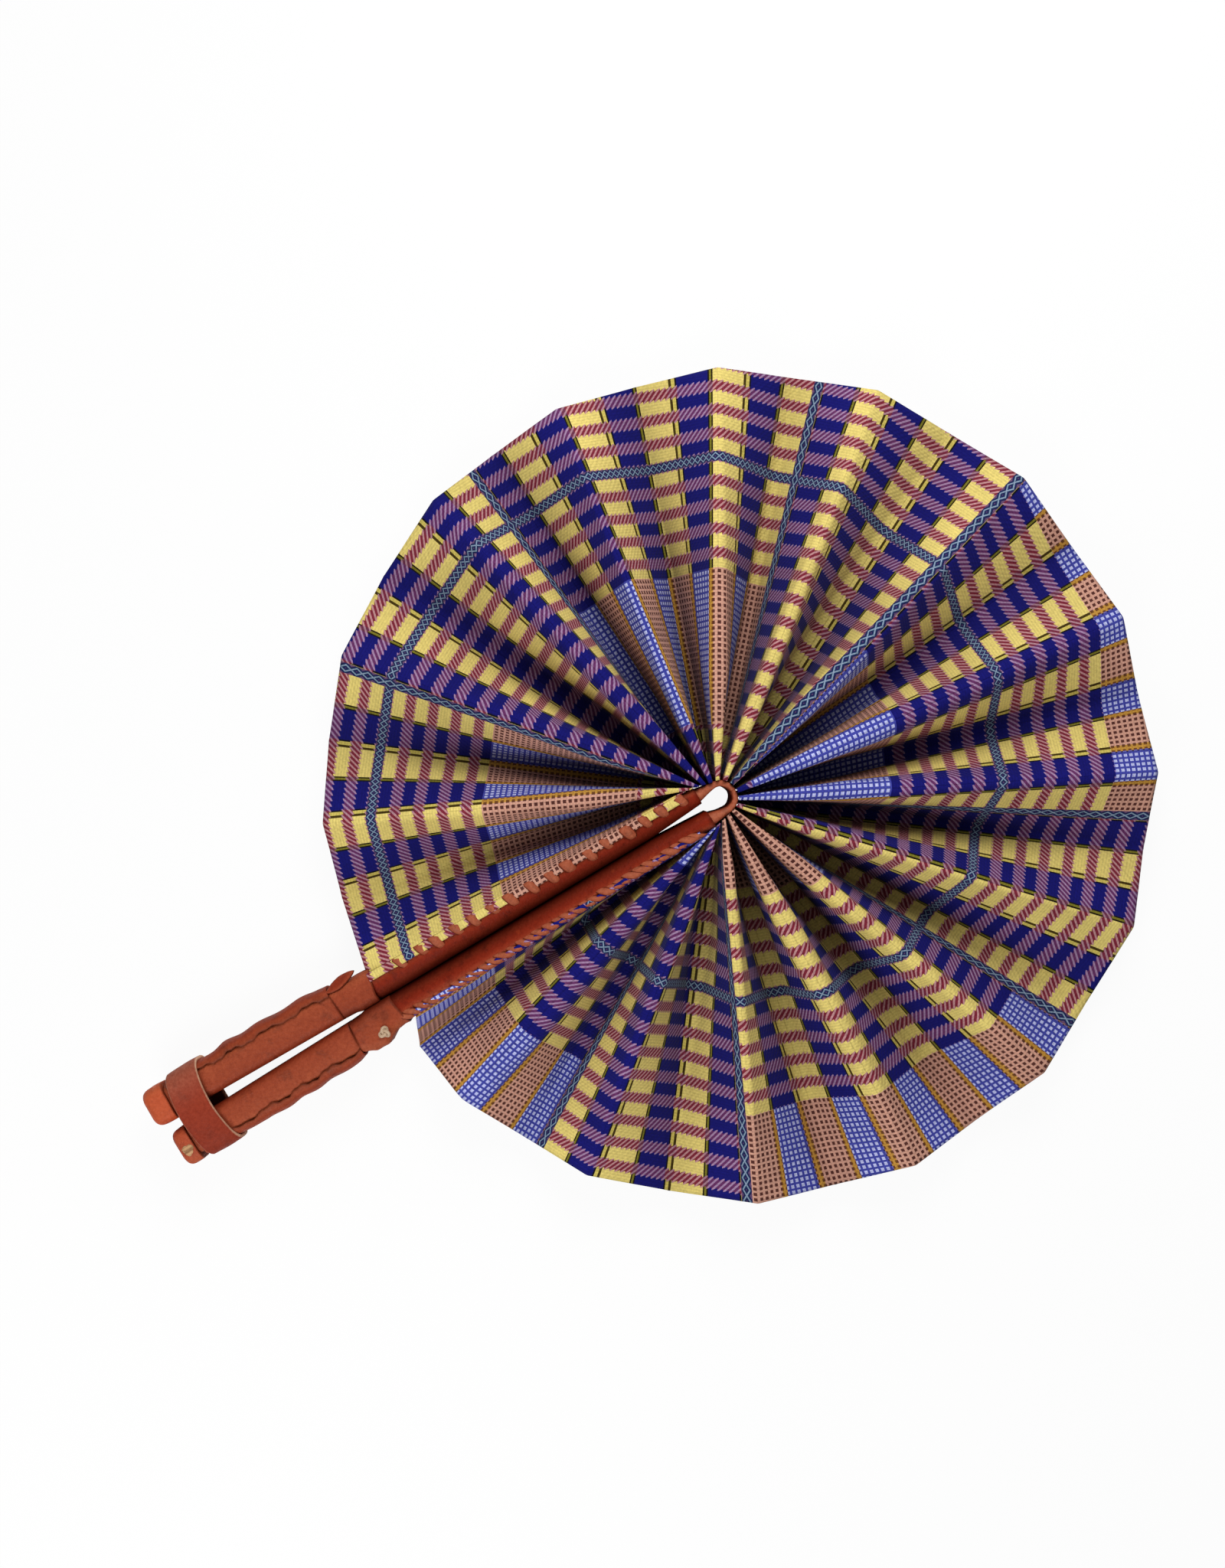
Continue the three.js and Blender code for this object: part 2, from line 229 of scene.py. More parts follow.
def way_along(points: Array) -> Array:
    """How far along a line each of its points lies: 0, and then the running sum of its steps."""
    return np.concatenate([[0], np.cumsum(np.hypot(*np.diff(points, axis=0).T))])


# Finishes


def linear(code: str) -> tuple[float, float, float, float]:
    """An sRGB hex colour as linear red, green, blue and alpha, by the sRGB curve.

    Args:
        code: The colour, as #RRGGBB.

    Returns:
        Its four numbers, alpha 1.
    """
    parts = [int(code[i : i + 2], 16) / 255 for i in (1, 3, 5)]
    r, g, b = (c / 12.92 if c <= 0.04045 else ((c + 0.055) / 1.055) ** 2.4 for c in parts)
    return (r, g, b, 1.0)


def add(
    tree: bpy.types.NodeTree,
    kind: str,
    inputs: dict[int | str, object] | None = None,
    out: int | str = 0,
    stops: Stops = (),
    between: str = "CONSTANT",
    **settings: object,
) -> bpy.types.NodeSocket:
    """Adds a node with its settings and links.

    Args:
        tree: The node tree.
        kind: The node's type, without ShaderNode.
        inputs: Input name or number to a value, or to the socket that feeds it.
        out: Name or number of the output that is wanted.
        stops: A colour ramp's stops.
        between: How the ramp's colours run between its stops.
        **settings: The node's own properties.

    Returns:
        The output.
    """
    made = tree.nodes.new(f"ShaderNode{kind}")
    for key, value in settings.items():
        setattr(made, key, value)
    for key, value in (inputs or {}).items():
        if isinstance(value, bpy.types.NodeSocket):
            tree.links.new(value, made.inputs[key])
        else:
            made.inputs[key].default_value = value
    if stops:
        ramp = made.color_ramp
        ramp.interpolation = between
        while len(ramp.elements) > 1:
            ramp.elements.remove(ramp.elements[-1])
        for i, (place, code) in enumerate(stops):
            element = ramp.elements[0] if i == 0 else ramp.elements.new(place)
            element.position, element.color = place, linear(code)
    return made.outputs[out]


def blank(
    name: str, roughness: float, **sockets: object
) -> tuple[bpy.types.Material, bpy.types.NodeTree, bpy.types.Node]:
    """A material with one Principled shader.

    Args:
        name: The material's name.
        roughness: The shader's roughness.
        **sockets: Other constant sockets, with underscores for spaces.

    Returns:
        The material, its node tree and the shader.
    """
    material = bpy.data.materials.new(name)
    material.use_nodes = True
    tree = material.node_tree
    shader = tree.nodes["Principled BSDF"]
    shader.inputs["Roughness"].default_value = roughness
    for key, value in sockets.items():
        shader.inputs[key.replace("_", " ")].default_value = value
    return material, tree, shader


@dataclass(frozen=True)
class DyedLeather:
    """Vegetable-tanned goatskin, dyed red-brown by hand: mottled, softly shiny, paler where it is rubbed.

    One mark on the mesh lightens rubbed edges, and on the thongs and the ring's left end it also
    carries painted highlight; the other is painted shade, which darkens grooves, ends and undersides.
    """

    name: str
    colour: str = "#8F3117"
    deep: str = "#72220F"
    pale: str = "#A04225"
    # colour of rubbed places, and of painted highlight on the thongs and the ring's left end
    rubbed_and_lit: str = "#BE6844"
    # colour of painted shade
    painted_shade_colour: str = "#1E0503"
    mottle: float = 7.0  # size of the dye's patches, mm
    fibres: float = 900.0  # the skin's fibres, waves in a metre
    grain: float = 0.7  # size of the skin's pebbles, mm; drawn a little coarse so that it shows
    relief: float = 0.0003  # height of the pebbles, m
    roughness: float = 0.52
    shine: float = 0.14  # the shader's specular level

    def material(self) -> bpy.types.Material:
        """Builds the leather: dye in patches, specks, rubbed edges and painted highlight, painted shade and
        a pebbled relief.
        """
        material, tree, shader = blank(self.name, self.roughness, IOR=1.5, Specular_IOR_Level=self.shine)
        place = add(tree, "TexCoord", out="Object")
        patches = add(
            tree, "TexNoise",
            {"Vector": place, "Scale": 1 / (self.mottle * MM), "Detail": 5.0, "Roughness": 0.6},
        )
        fibres = add(
            tree, "TexNoise", {"Vector": place, "Scale": self.fibres, "Detail": 4.0, "Roughness": 0.7}
        )
        dye = add(
            tree, "ValToRGB", {"Fac": patches}, between="EASE",
            stops=((0.3, self.deep), (0.48, self.colour), (0.6, self.colour), (0.74, self.pale)),
        )
        speck = add(
            tree, "MapRange",
            {"Value": fibres, "From Min": 0.35, "From Max": 0.7, "To Min": 0.84, "To Max": 1.12},
        )
        toned = add(tree, "VectorMath", {0: dye, "Scale": speck}, operation="SCALE")
        # rubbed places, and painted highlight where the builders lay it
        wear_and_highlight = add(tree, "Attribute", out="Fac", attribute_name="wear_and_highlight")
        rub_and_highlight = add(tree, "Math", {0: wear_and_highlight, 1: fibres}, operation="MULTIPLY")
        worn = add(tree, "Mix", {"Factor": rub_and_highlight, 6: toned, 7: linear(self.rubbed_and_lit)}, 2, data_type="RGBA")
        # painted shade, in the colour above, wherever the builders lay it
        crease = add(tree, "Attribute", out="Fac", attribute_name="crease")
        shaded_dye = add(tree, "Mix", {"Factor": crease, 6: worn, 7: linear(self.painted_shade_colour)}, 2, data_type="RGBA")
        tree.links.new(shaded_dye, shader.inputs["Base Color"])
        gloss = add(
            tree, "MapRange",
            {"Value": patches, "From Min": 0.3, "From Max": 0.7,
             "To Min": self.roughness - 0.08, "To Max": self.roughness + 0.1},
        )
        tree.links.new(gloss, shader.inputs["Roughness"])
        pebbles = add(
            tree, "TexVoronoi", {"Vector": place, "Scale": 1 / (self.grain * MM), "Randomness": 1.0}
        )
        height = add(tree, "Math", {0: pebbles, 1: fibres}, operation="ADD")
        bump = add(tree, "Bump", {"Strength": 0.35, "Distance": self.relief, "Height": height})
        tree.links.new(bump, shader.inputs["Normal"])
        return material


@dataclass(frozen=True)
class SplitCane:
    """Split cane, unvarnished: pale and matt, with grain along the stick."""

    name: str
    colour: str = "#C79A6C"
    grain: str = "#8C5F38"
    width: float = 0.9  # grain width, mm
    stretch: float = 0.08  # how much slower the grain changes along the stick than across it

    def material(self) -> bpy.types.Material:
        """Builds the cane: noise drawn out along the stick, from the grain's tone to the wood's."""
        material, tree, shader = blank(self.name, 0.7, IOR=1.5)
        place = add(tree, "TexCoord", out="Object")
        along = add(tree, "Mapping", {"Vector": place, "Scale": (1.0, self.stretch, 1.0)})
        streaks = add(tree, "TexNoise", {"Vector": along, "Scale": 1 / (self.width * MM), "Detail": 4.0})
        tone = add(
            tree, "ValToRGB", {"Fac": streaks}, between="LINEAR",
            stops=((0.35, self.grain), (0.6, self.colour)),
        )
        tree.links.new(tone, shader.inputs["Base Color"])
        return material


@dataclass(frozen=True)
class WaxedThread:
    """Pale waxed cotton thread, twisted, with a dull shine."""

    name: str
    colour: str = "#E0C8A8"
    shade: str = "#A07858"
    twist: float = 900.0  # turns in a metre

    def material(self) -> bpy.types.Material:
        """Builds the thread: bent waves from the shade between its strands to their tone."""
        material, tree, shader = blank(self.name, 0.6, IOR=1.45, Sheen_Weight=0.2)
        place = add(tree, "TexCoord", out="Object")
        twist = add(tree, "TexWave", {"Vector": place, "Scale": self.twist, "Distortion": 2.0}, "Fac")
        tone = add(
            tree, "ValToRGB", {"Fac": twist}, between="LINEAR",
            stops=((0.2, self.shade), (0.6, self.colour)),
        )
        tree.links.new(tone, shader.inputs["Base Color"])
        return material


@dataclass(frozen=True)
class CheckCloth:
    """Stiffened cotton in a traditional strip-weave check of yellow, navy and mauve.

    UV x runs round the leaf and y inwards from the zigzag row, in metres of cloth. The pattern is
    worked out step by step from those two lengths: pairs of columns 26.5 mm wide, three pairs and
    then five between zigzag stripes; rows 8.1 mm apart; blocks of small dots in the groups of five.
    """

    name: str
    stripe: float = 3.5  # zigzag stripe between groups of columns
    pair: float = 26.5  # a yellow and a navy column with the lines beside them
    tail: float = 2.7  # the lines after navy, left out at the end of a group
    row: float = 8.1  # a block and a twill band
    band: float = 3.1  # the twill band alone
    blocks: float = 76.0  # height of the check between dotted blocks
    dotted: float = 52.0  # height of a dotted block
    dot: float = 1.9  # distance between dots, drawn coarse so that they show
    twill: float = 2.0  # between twill lines, measured round the leaf; drawn coarse so that they show
    rise: float = -0.95  # what y adds to x across the twill, so its lines go 0.95 round for 1 inwards
    zigzag: tuple[float, float] = (1.7, 2.4)  # half the zigzag row's height, and half a zigzag's length
    fade: float = 45.0  # the dye's unevenness, patches in a metre
    slubs: float = 1400.0  # uneven places in the threads, in a metre
    relief: float = 0.00025  # height of ribs and twill, m
    valley: float = 0.5  # tone left at the bottom of a fold: painted shade, deeper than the lamps give

    @property
    def three(self) -> float:
        """Width of a zigzag stripe and three pairs of columns."""
        return self.stripe + 3 * self.pair - self.tail

    @property
    def five(self) -> float:
        """Width of a zigzag stripe and five pairs of columns."""
        return self.stripe + 5 * self.pair - self.tail

    def steps(self) -> list[tuple]:
        """The pattern's arithmetic: name, operation and up to three terms, in millimetres.

        A name among the terms is an earlier step. Lengths get a whole number of repeats added before
        a remainder is taken, because Modulo is only used on positive numbers.
        """
        three, five = self.three, self.five
        shift = 1000.0 * self.row
        ring_half, ring_zig = self.zigzag
        return [
            ("x", "MULTIPLY_ADD", "u", 1 / MM, 2.0 * (three + five)),
            ("y", "MULTIPLY", "v", 1 / MM),
            # columns, in groups of three and five pairs
            ("group", "MODULO", "x", three + five),
            ("in_five", "GREATER_THAN", "group", three),
            ("skip", "MULTIPLY", "in_five", three),
            ("place", "SUBTRACT", "group", "skip"),
            ("stripe", "LESS_THAN", "place", self.stripe),
            ("past", "ADD", "place", self.pair - self.stripe),
            ("column", "MODULO", "past", self.pair),
            ("share", "DIVIDE", "column", self.pair),
            # twill lines, aslant to the columns
            ("lean", "MULTIPLY_ADD", "y", self.rise, shift),
            ("twill_at", "ADD", "lean", "x"),
            ("twill_wave", "PINGPONG", "twill_at", self.twill / 2),
            ("twill", "GREATER_THAN", "twill_wave", self.twill * 0.29),
            # rows, with a twill band in each, its edges toothed by the twill
            ("row_at", "ADD", "y", shift + self.row / 2),
            ("row_in", "MODULO", "row_at", self.row),
            ("row_off", "SUBTRACT", "row_in", self.row / 2),
            ("row_far", "ABSOLUTE", "row_off"),
            ("teeth", "MULTIPLY_ADD", "twill_wave", 0.95, self.band / 2 - 0.15),
            ("band", "LESS_THAN", "row_far", "teeth"),
            # the zigzag row: distance to the nearer of two zigzags that cross
            ("ring_far", "ABSOLUTE", "y"),
            ("ring", "LESS_THAN", "ring_far", ring_half),
            ("ring_zig", "PINGPONG", "x", ring_zig),
            ("ring_line", "ADD", "y", "ring_zig"),
            ("ring_off", "SUBTRACT", "ring_line", ring_zig / 2),
            ("ring_one", "ABSOLUTE", "ring_off"),
            ("ring_cross", "SUBTRACT", "y", "ring_zig"),
            ("ring_over", "ADD", "ring_cross", ring_zig / 2),
            ("ring_two", "ABSOLUTE", "ring_over"),
            ("ring_gap", "MINIMUM", "ring_one", "ring_two"),
            # the zigzag stripes, in the same way
            ("y_up", "ADD", "y", shift),
            ("stripe_zig", "PINGPONG", "y_up", self.row / 2),
            ("stripe_half", "MULTIPLY", "stripe_zig", 0.55),
            ("stripe_line", "ADD", "place", "stripe_half"),
            ("stripe_off", "SUBTRACT", "stripe_line", self.stripe / 2 + 1.1),
            ("stripe_one", "ABSOLUTE", "stripe_off"),
            ("stripe_cross", "SUBTRACT", "place", "stripe_half"),
            ("stripe_over", "SUBTRACT", "stripe_cross", self.stripe / 2 - 1.1),
            ("stripe_two", "ABSOLUTE", "stripe_over"),
            ("stripe_gap", "MINIMUM", "stripe_one", "stripe_two"),
            # dotted blocks, in the groups of five only
            ("block_at", "ADD", "y", self.blocks / 2 + 0.5 + 4 * (self.blocks + self.dotted)),
            ("block_in", "MODULO", "block_at", self.blocks + self.dotted),
            ("low_part", "GREATER_THAN", "block_in", self.blocks),
            ("dotted", "MULTIPLY", "low_part", "in_five"),
            ("dot_x", "PINGPONG", "column", self.dot / 2),
            ("dot_y", "PINGPONG", "y_up", self.dot / 2),
            ("dot_x_in", "GREATER_THAN", "dot_x", self.dot * 0.22),
            ("dot_y_in", "GREATER_THAN", "dot_y", self.dot * 0.2),
            ("dots", "MULTIPLY", "dot_x_in", "dot_y_in"),
            # ribs that the weft makes across the columns, one a millimetre
            ("rib", "PINGPONG", "y_up", 0.5),
        ]

    def colours(self) -> dict[str, tuple[str, Stops]]:
        """The thread colours: the step that each ramp follows, and its stops.

        Across a pair of columns, yellow lies from 0 to 10.4 mm and navy from 12.2 to 23.0, with thin
        lines between them. In the dotted blocks tan takes the place of yellow and blue that of navy.
        """
        zigzag = ((0.0, "#8A9AB2"), (0.2, "#2A4C66"), (0.42, "#1E2050"), (0.95, "#644A6C"))
        across = {
            "columns": ((0.0, "#E3CE76"), (10.4, "#1E150A"), (10.9, "#7A7424"), (11.6, "#15110F"),
                        (12.2, "#13136A"), (23.0, "#100D1C"), (23.7, "#CDBB5E"), (24.9, "#43340E"),
                        (25.8, "#E3CE76")),
            "ground": ((0.0, "#CE9A86"), (10.4, "#B98838"), (12.2, "#4045A0"), (23.0, "#2E2A58"),
                       (23.6, "#BE8C3C"), (25.8, "#CE9A86")),
            "spots": ((0.0, "#57302A"), (10.4, "#6A3C1E"), (12.2, "#B9BEE8"), (23.0, "#6A6AB8"),
                      (23.6, "#6E4422"), (25.8, "#57302A")),
            "lines": ((0.0, "#7E2838"), (10.4, "#683048"), (12.2, "#643060"), (23.0, "#782A40")),
            "floats": ((0.0, "#BE8A8C"), (10.4, "#A07886"), (12.2, "#A080A4"), (23.0, "#B08490")),
        }
        ramps = {
            key: ("share", tuple((place / self.pair, code) for place, code in stops))
            for key, stops in across.items()
        }
        return {**ramps, "ring_zigzag": ("ring_gap", zigzag), "stripe_zigzag": ("stripe_gap", zigzag)}

    def material(self) -> bpy.types.Material:
        """Builds the cloth: plain columns, then bands, zigzags and dotted blocks laid over them.

        The tone is the product of the dye's unevenness, the threads' slubs, the ribs' shade and the
        fold mark's painted shade, from 1 down to valley in the folds' depths.
        """
        material, tree, shader = blank(self.name, 0.85, IOR=1.5, Specular_IOR_Level=0.1, Sheen_Weight=0.03)
        cloth = add(tree, "UVMap", uv_map="weave")
        at = {key: add(tree, "SeparateXYZ", {0: cloth}, axis) for key, axis in (("u", "X"), ("v", "Y"))}
        for key, operation, *terms in self.steps():
            inputs = {i: at[term] if isinstance(term, str) else term for i, term in enumerate(terms)}
            at[key] = add(tree, "Math", inputs, operation=operation)
        for key, (step, stops) in self.colours().items():
            at[key] = add(tree, "ValToRGB", {"Fac": at[step]}, stops=stops)
        for key, mask, under, over in (
            ("twilled", "twill", "lines", "floats"),
            ("banded", "band", "columns", "twilled"),
            ("ringed", "ring", "banded", "ring_zigzag"),
            ("spotted", "dots", "ground", "spots"),
            ("blocked", "dotted", "ringed", "spotted"),
            ("striped", "stripe", "blocked", "stripe_zigzag"),
        ):
            at[key] = add(tree, "Mix", {"Factor": at[mask], 6: at[under], 7: at[over]}, 2, data_type="RGBA")
        place = add(tree, "TexCoord", out="Object")
        fade = add(tree, "TexNoise", {"Vector": place, "Scale": self.fade, "Detail": 3.0})
        slub = add(tree, "TexNoise", {"Vector": place, "Scale": self.slubs, "Detail": 2.0})
        # painted shade: the cloth darkens deep in its folds and beside the right stick's slat
        fold = add(tree, "Attribute", out="Fac", attribute_name="fold")
        tone = add(tree, "Math", {0: at["rib"], 1: 0.36, 2: 0.84}, operation="MULTIPLY_ADD")
        for source, low, high, darkest, lightest in (
            (fade, 0.3, 0.7, 1.01, 1.21), (slub, 0.3, 0.7, 0.86, 1.12), (fold, 0.0, 1.0, 1.0, self.valley)
        ):
            part = add(
                tree, "MapRange",
                {"Value": source, "From Min": low, "From Max": high, "To Min": darkest, "To Max": lightest},
            )
            tone = add(tree, "Math", {0: tone, 1: part}, operation="MULTIPLY")
        toned = add(tree, "VectorMath", {0: at["striped"], "Scale": tone}, operation="SCALE")
        tree.links.new(toned, shader.inputs["Base Color"])
        height = add(tree, "Math", {0: at["rib"], 1: at["twill_wave"]}, operation="ADD")
        bump = add(tree, "Bump", {"Strength": 0.4, "Distance": self.relief, "Height": height})
        tree.links.new(bump, shader.inputs["Normal"])
        return material


CLOTH = CheckCloth("woven_check_cotton")


@dataclass(frozen=True)
class Palette:
    """The fan's finishes, each made once."""

    leather: bpy.types.Material
    slat: bpy.types.Material
    lacing: bpy.types.Material
    ring: bpy.types.Material
    tip: bpy.types.Material
    handled: bpy.types.Material
    cloth: bpy.types.Material
    wood: bpy.types.Material
    thread: bpy.types.Material

    @classmethod
    def mix(cls) -> Palette:
        """Builds every finish."""
        return cls(
            # brushed with dye and rubbed down: red-brown with paler high places
            leather=DyedLeather("hand_dyed_goatskin").material(),
            # pulled on wet and tight: darker, duller and more even, in small patches
            slat=DyedLeather(
                "stretched_goatskin", colour="#861F0A", deep="#6A1206", pale="#9A3012", mottle=4.0,
                shine=0.07,
            ).material(),
            # thongs cut from the skin with a knife: their outer faces are lighter, wear and painted
            # highlight
            lacing=DyedLeather(
                "knife_cut_goatskin", colour="#9A3818", deep="#782208", pale="#B05230", rubbed_and_lit="#D08A68",
                mottle=3.0,
            ).material(),
            # a band shaved thin: flat and dull, nearly white where it was cut
            ring=DyedLeather(
                "shaved_goatskin", colour="#922A10", deep="#7E2008", pale="#A03C20", rubbed_and_lit="#DDB090",
                mottle=9.0, roughness=0.58,
            ).material(),
            # moulded wet over the stick's end: a lighter red than the leather, painted light that stands in
            # for the light the tip catches
            tip=DyedLeather(
                "wet_moulded_goatskin", colour="#A83E22", deep="#8A2C14", pale="#BC5A3A", mottle=5.0
            ).material(),
            # the same, lighter still on the left tip: more painted light
            handled=DyedLeather(
                "lighter_goatskin", colour="#C24E2A", deep="#A43A1C", pale="#D87450", mottle=4.0
            ).material(),
            # dyed threads, woven and stiffened: matt, each colour broken by ribs and twill
            cloth=CLOTH.material(),
            # split along its grain: pale, with long darker streaks
            wood=SplitCane("split_cane").material(),
            # twisted and waxed: pale strands with darker gaps and a dull shine
            thread=WaxedThread("waxed_cotton_thread").material(),
        )


def dress(piece: Piece, material: bpy.types.Material) -> None:
    """Gives a piece its finish.

    Args:
        piece: The piece.
        material: Its finish.
    """
    piece.data.materials.clear()
    piece.data.materials.append(material)


def mount(piece: Piece, side: Side, material: bpy.types.Material, node: str = "") -> Piece:
    """Dresses a piece and sets it riding on a stick.

    Args:
        piece: The piece.
        side: Which stick.
        material: The piece's finish.
        node: The CAD node that it replaces, if any.

    Returns:
        The piece.
    """
    dress(piece, material)
    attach(piece, f"stick_{side.label}")
    if node:
        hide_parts(node)
    return piece


# The sticks' line


@dataclass(frozen=True)
class StickLine:
    """Where the sticks run, and how deep their leather-covered slats are."""

    lean: float = math.radians(1.056)  # of each stick off the line between them
    offset: float = 3.21  # from that line to the stick's own, at the hub
    blade_start: float = 8.3  # where the slat's leather starts along a stick
    blade_end: float = 135.0  # and where it ends
    blade_half: float = 4.0  # half the leather-covered slat's width
    seam: float = 0.6  # from the slat's side to the outermost fold
    inset: float = 1.2  # how far inside the pleats' height the slat's edge lies
    bar_deep: float = 6.0  # half the depth of the handle's leather
    leaf_near: float = 11.13  # where the leaf starts along a stick
    leaf_end: float = 134.4  # and where it ends
    right_short: float = 6.9  # how much sooner it ends on the right stick
    hub_pitch: float = 1.1  # between two folds at the hub
    rim_chord: float = 27.5  # between two folds at the rim, in plan
    rim_pleat: float = 10.677  # the pleats' depth at the rim

    def at(self, side: Side, w: Array | float, s: Array | float, z: Array | float) -> Array:
        """Points of a stick: x = side (offset + s sin lean + w cos lean), y = w sin lean - s cos lean.

        Args:
            side: Which stick.
            w: Places across it.
            s: Places along it.
            z: Heights.

        Returns:
            The points, in millimetres from the hub.
        """
        w, s, z = np.broadcast_arrays(w, s, z)
        x = side.value * (self.offset + s * math.sin(self.lean) + w * math.cos(self.lean))
        return np.stack([x, w * math.sin(self.lean) - s * math.cos(self.lean), z], axis=-1)

    @property
    def cloth_width(self) -> float:
        """The cloth between two folds."""
        return math.hypot(self.rim_chord, self.rim_pleat)

    def reach(self, side: Side) -> float:
        """Where the leaf ends along a stick."""
        return self.leaf_end - (self.right_short if side is Side.RIGHT else 0.0)

    def pleat_half(self, v: Array) -> Array:
        """Half the pleats' height, v from 0 at the hub to 1: half the root of width^2 - chord^2."""
        chord = self.hub_pitch + (self.rim_chord - self.hub_pitch) * np.clip(v, 0, 1)
        return np.sqrt(self.cloth_width**2 - chord**2) / 2

    def depth(self, s: Array) -> Array:
        """Half the depth of the slat's leather at s: the pleats' less the inset, at least the bar's."""
        v = (s - self.leaf_near) / (self.leaf_end - self.leaf_near)
        return np.maximum(self.bar_deep, self.pleat_half(v) - self.inset)

    def across(self, x: Array, s: Array) -> Array:
        """The w of a place that lies x from the line between the sticks."""
        return (x - self.offset - s * math.sin(self.lean)) / math.cos(self.lean)

    def inner_face(self, s: Array) -> Array:
        """The slat's inner w at s: beside the eye and its slit, and then against the other slat."""
        x = np.interp(s, [0, self.blade_start, 16, 27, 30], [1.5, 1.5, 0.95, 0.2, 0.0])
        return self.across(x, s)


LINE = StickLine()


# Leaf


@dataclass(frozen=True)
class Leaf:
    """The pleated cloth: 32 panels between folds that are ridges and valleys in turn."""

    panels: int = 32
    middle: int = 17  # the panel that stays with the hub
    crowded: int = 2  # panels beside the right stick that are narrower
    crowding: float = 0.643  # and how wide they are against the others
    inner: float = 6.8  # where the folds start, straight ahead
    inner_gain: float = 6.8  # how much farther out they start beside the sticks
    rim: float = 140.7  # its radius
    rim_shift: float = 5.9  # the rim's centre, beyond the hub
    thickness: float = 0.4
    crest: float = 2.6  # an ordinary fold's largest radius is 0.7 to 1.6 times this
    soft_crest: float = 9.0  # the first ridge beside the right stick is only softly folded
    slack: float = 0.5  # how far the cloth between two folds is off flat
    rows: int = 84  # from hub to rim
    arc_steps: int = 9  # points round a fold, on each panel
    flat_steps: int = 16  # points between two folds
    closed_pitch: float = 1.0  # between two panels of the closed fan
    tucked: float = 12.6  # cloth of panel 1 that is drawn in under the right stick's slat
    thong_room: tuple[float, float] = (0.5, 0.25)  # how far off the thongs the outermost panels fold flat
    mouth_radius: float = 5.9  # of the line that the gathers start from, round the eye
    mouth_centre: float = -2.0  # y of the eye's middle
    mouth_end: tuple[tuple[float, float], ...] = ((7.5, -8.3), (7.75, -11.2))  # and then go through here
    zigzag_row: tuple[float, float] = (15.9, 27.2)  # inside the rim at the left stick, and its swing
    edge_flat: tuple[float, float] = (0.0105, 0.119)  # the bound edge as cut, in metres
    strays: tuple[float, ...] = (
        0, -2.6, -0.3, -0.4, -1.7, -0.7, 0.6, 1.0, 0.9, 0.8, 0.4, 0.8, 1.2, 0.6, -0.2, -0.8, -1.4,
        -1.4, -1.4, -1.5, -1.5, -2.0, -2.4, -2.5, -2.5, -3.1, -4.0, -2.8, -1.4, -0.5, 0, -0.2, 0,
    )  # degrees that each hand-made fold lies off its even place
    stripes: tuple[float, ...] = (95.3, 173.5, 314.8, 396.2, 532.2, 610.7, 748.1, 829.5)  # round the leaf

    @property
    def inner_lean(self) -> float:
        """Half the angle that the gathered cloth leaves open beside the sticks."""
        return math.asin((LINE.offset + LINE.blade_half + LINE.seam) / (self.inner + self.inner_gain))

    def half_span(self, side: Side) -> float:
        """Degrees from +Y to the leaf's edge on a stick, at the rim."""
        x, y, _ = LINE.at(side, LINE.blade_half, LINE.reach(side), 0.0)
        return 180 - math.degrees(math.atan2(abs(x), -y))

    def mouth(self, share: Array) -> Array:
        """Where the gathered cloth starts: along the hub loop, then down beside the slats.

        The line is a quarter circle of mouth_radius about (0, mouth_centre) and two straight ones
        through the points of mouth_end; a share of its length from straight ahead is measured along
        it, to the power 0.92, so that the gathers are a little closer beside the sticks.

        Args:
            share: From 0 straight ahead to 1 beside the stick.

        Returns:
            Array (..., 2), x positive.
        """
        turn = np.linspace(0, math.pi / 2, 30)
        radius = self.mouth_radius
        curve = np.stack([radius * np.sin(turn), self.mouth_centre + radius * np.cos(turn)], axis=1)
        path = np.concatenate([curve, self.mouth_end])
        way = way_along(path)
        at = share**0.92 * way[-1]
        return np.stack([np.interp(at, way, path[:, 0]), np.interp(at, way, path[:, 1])], axis=-1)

    def folds(self, handmade: bool) -> tuple[Array, Array]:
        """Each fold's inner and rim end in plan.

        The rim is a circle of radius rim, its centre rim_shift beyond the hub. Left folds are evenly
        spread; on the right the last two panels are crowded.

        Args:
            handmade: True with each fold's stray and the gathered inner ends, False for the even plan.

        Returns:
            Two arrays (panels + 1, 2).
        """
        k = np.arange(self.panels + 1) - (self.middle - 0.5)
        even = self.middle - 0.5 - self.crowded
        pitch = self.half_span(Side.RIGHT) / (even + self.crowded * self.crowding)
        right = np.where(-k > even, -even * pitch + (k + even) * self.crowding * pitch, k * pitch)
        left = k * self.half_span(Side.LEFT) / (self.panels - self.middle + 0.5)
        angle = np.radians(np.where(k > 0, left, right) + (np.array(self.strays) if handmade else 0))
        most = np.where(k > 0, self.panels - self.middle + 0.5, self.middle - 0.5)
        share = np.abs(k) / most
        inner_angle = np.sign(k) * share * (math.pi - self.inner_lean)
        near = self.inner + self.inner_gain * share**2.5
        far = self.rim_shift * np.cos(angle) + np.sqrt(self.rim**2 - (self.rim_shift * np.sin(angle)) ** 2)
        start = near[:, None] * np.stack([-np.sin(inner_angle), np.cos(inner_angle)], axis=1)
        if handmade:
            start = self.mouth(share) * np.stack([-np.sign(k), np.ones_like(k)], axis=1)
        end = far[:, None] * np.stack([-np.sin(angle), np.cos(angle)], axis=1)
        w = LINE.blade_half + LINE.seam
        for i, side in ((0, Side.RIGHT), (self.panels, Side.LEFT)):
            start[i] = LINE.at(side, w, -start[i, 1], 0.0)[:2]
            end[i] = LINE.at(side, w, LINE.reach(side), 0.0)[:2]
        return start, end

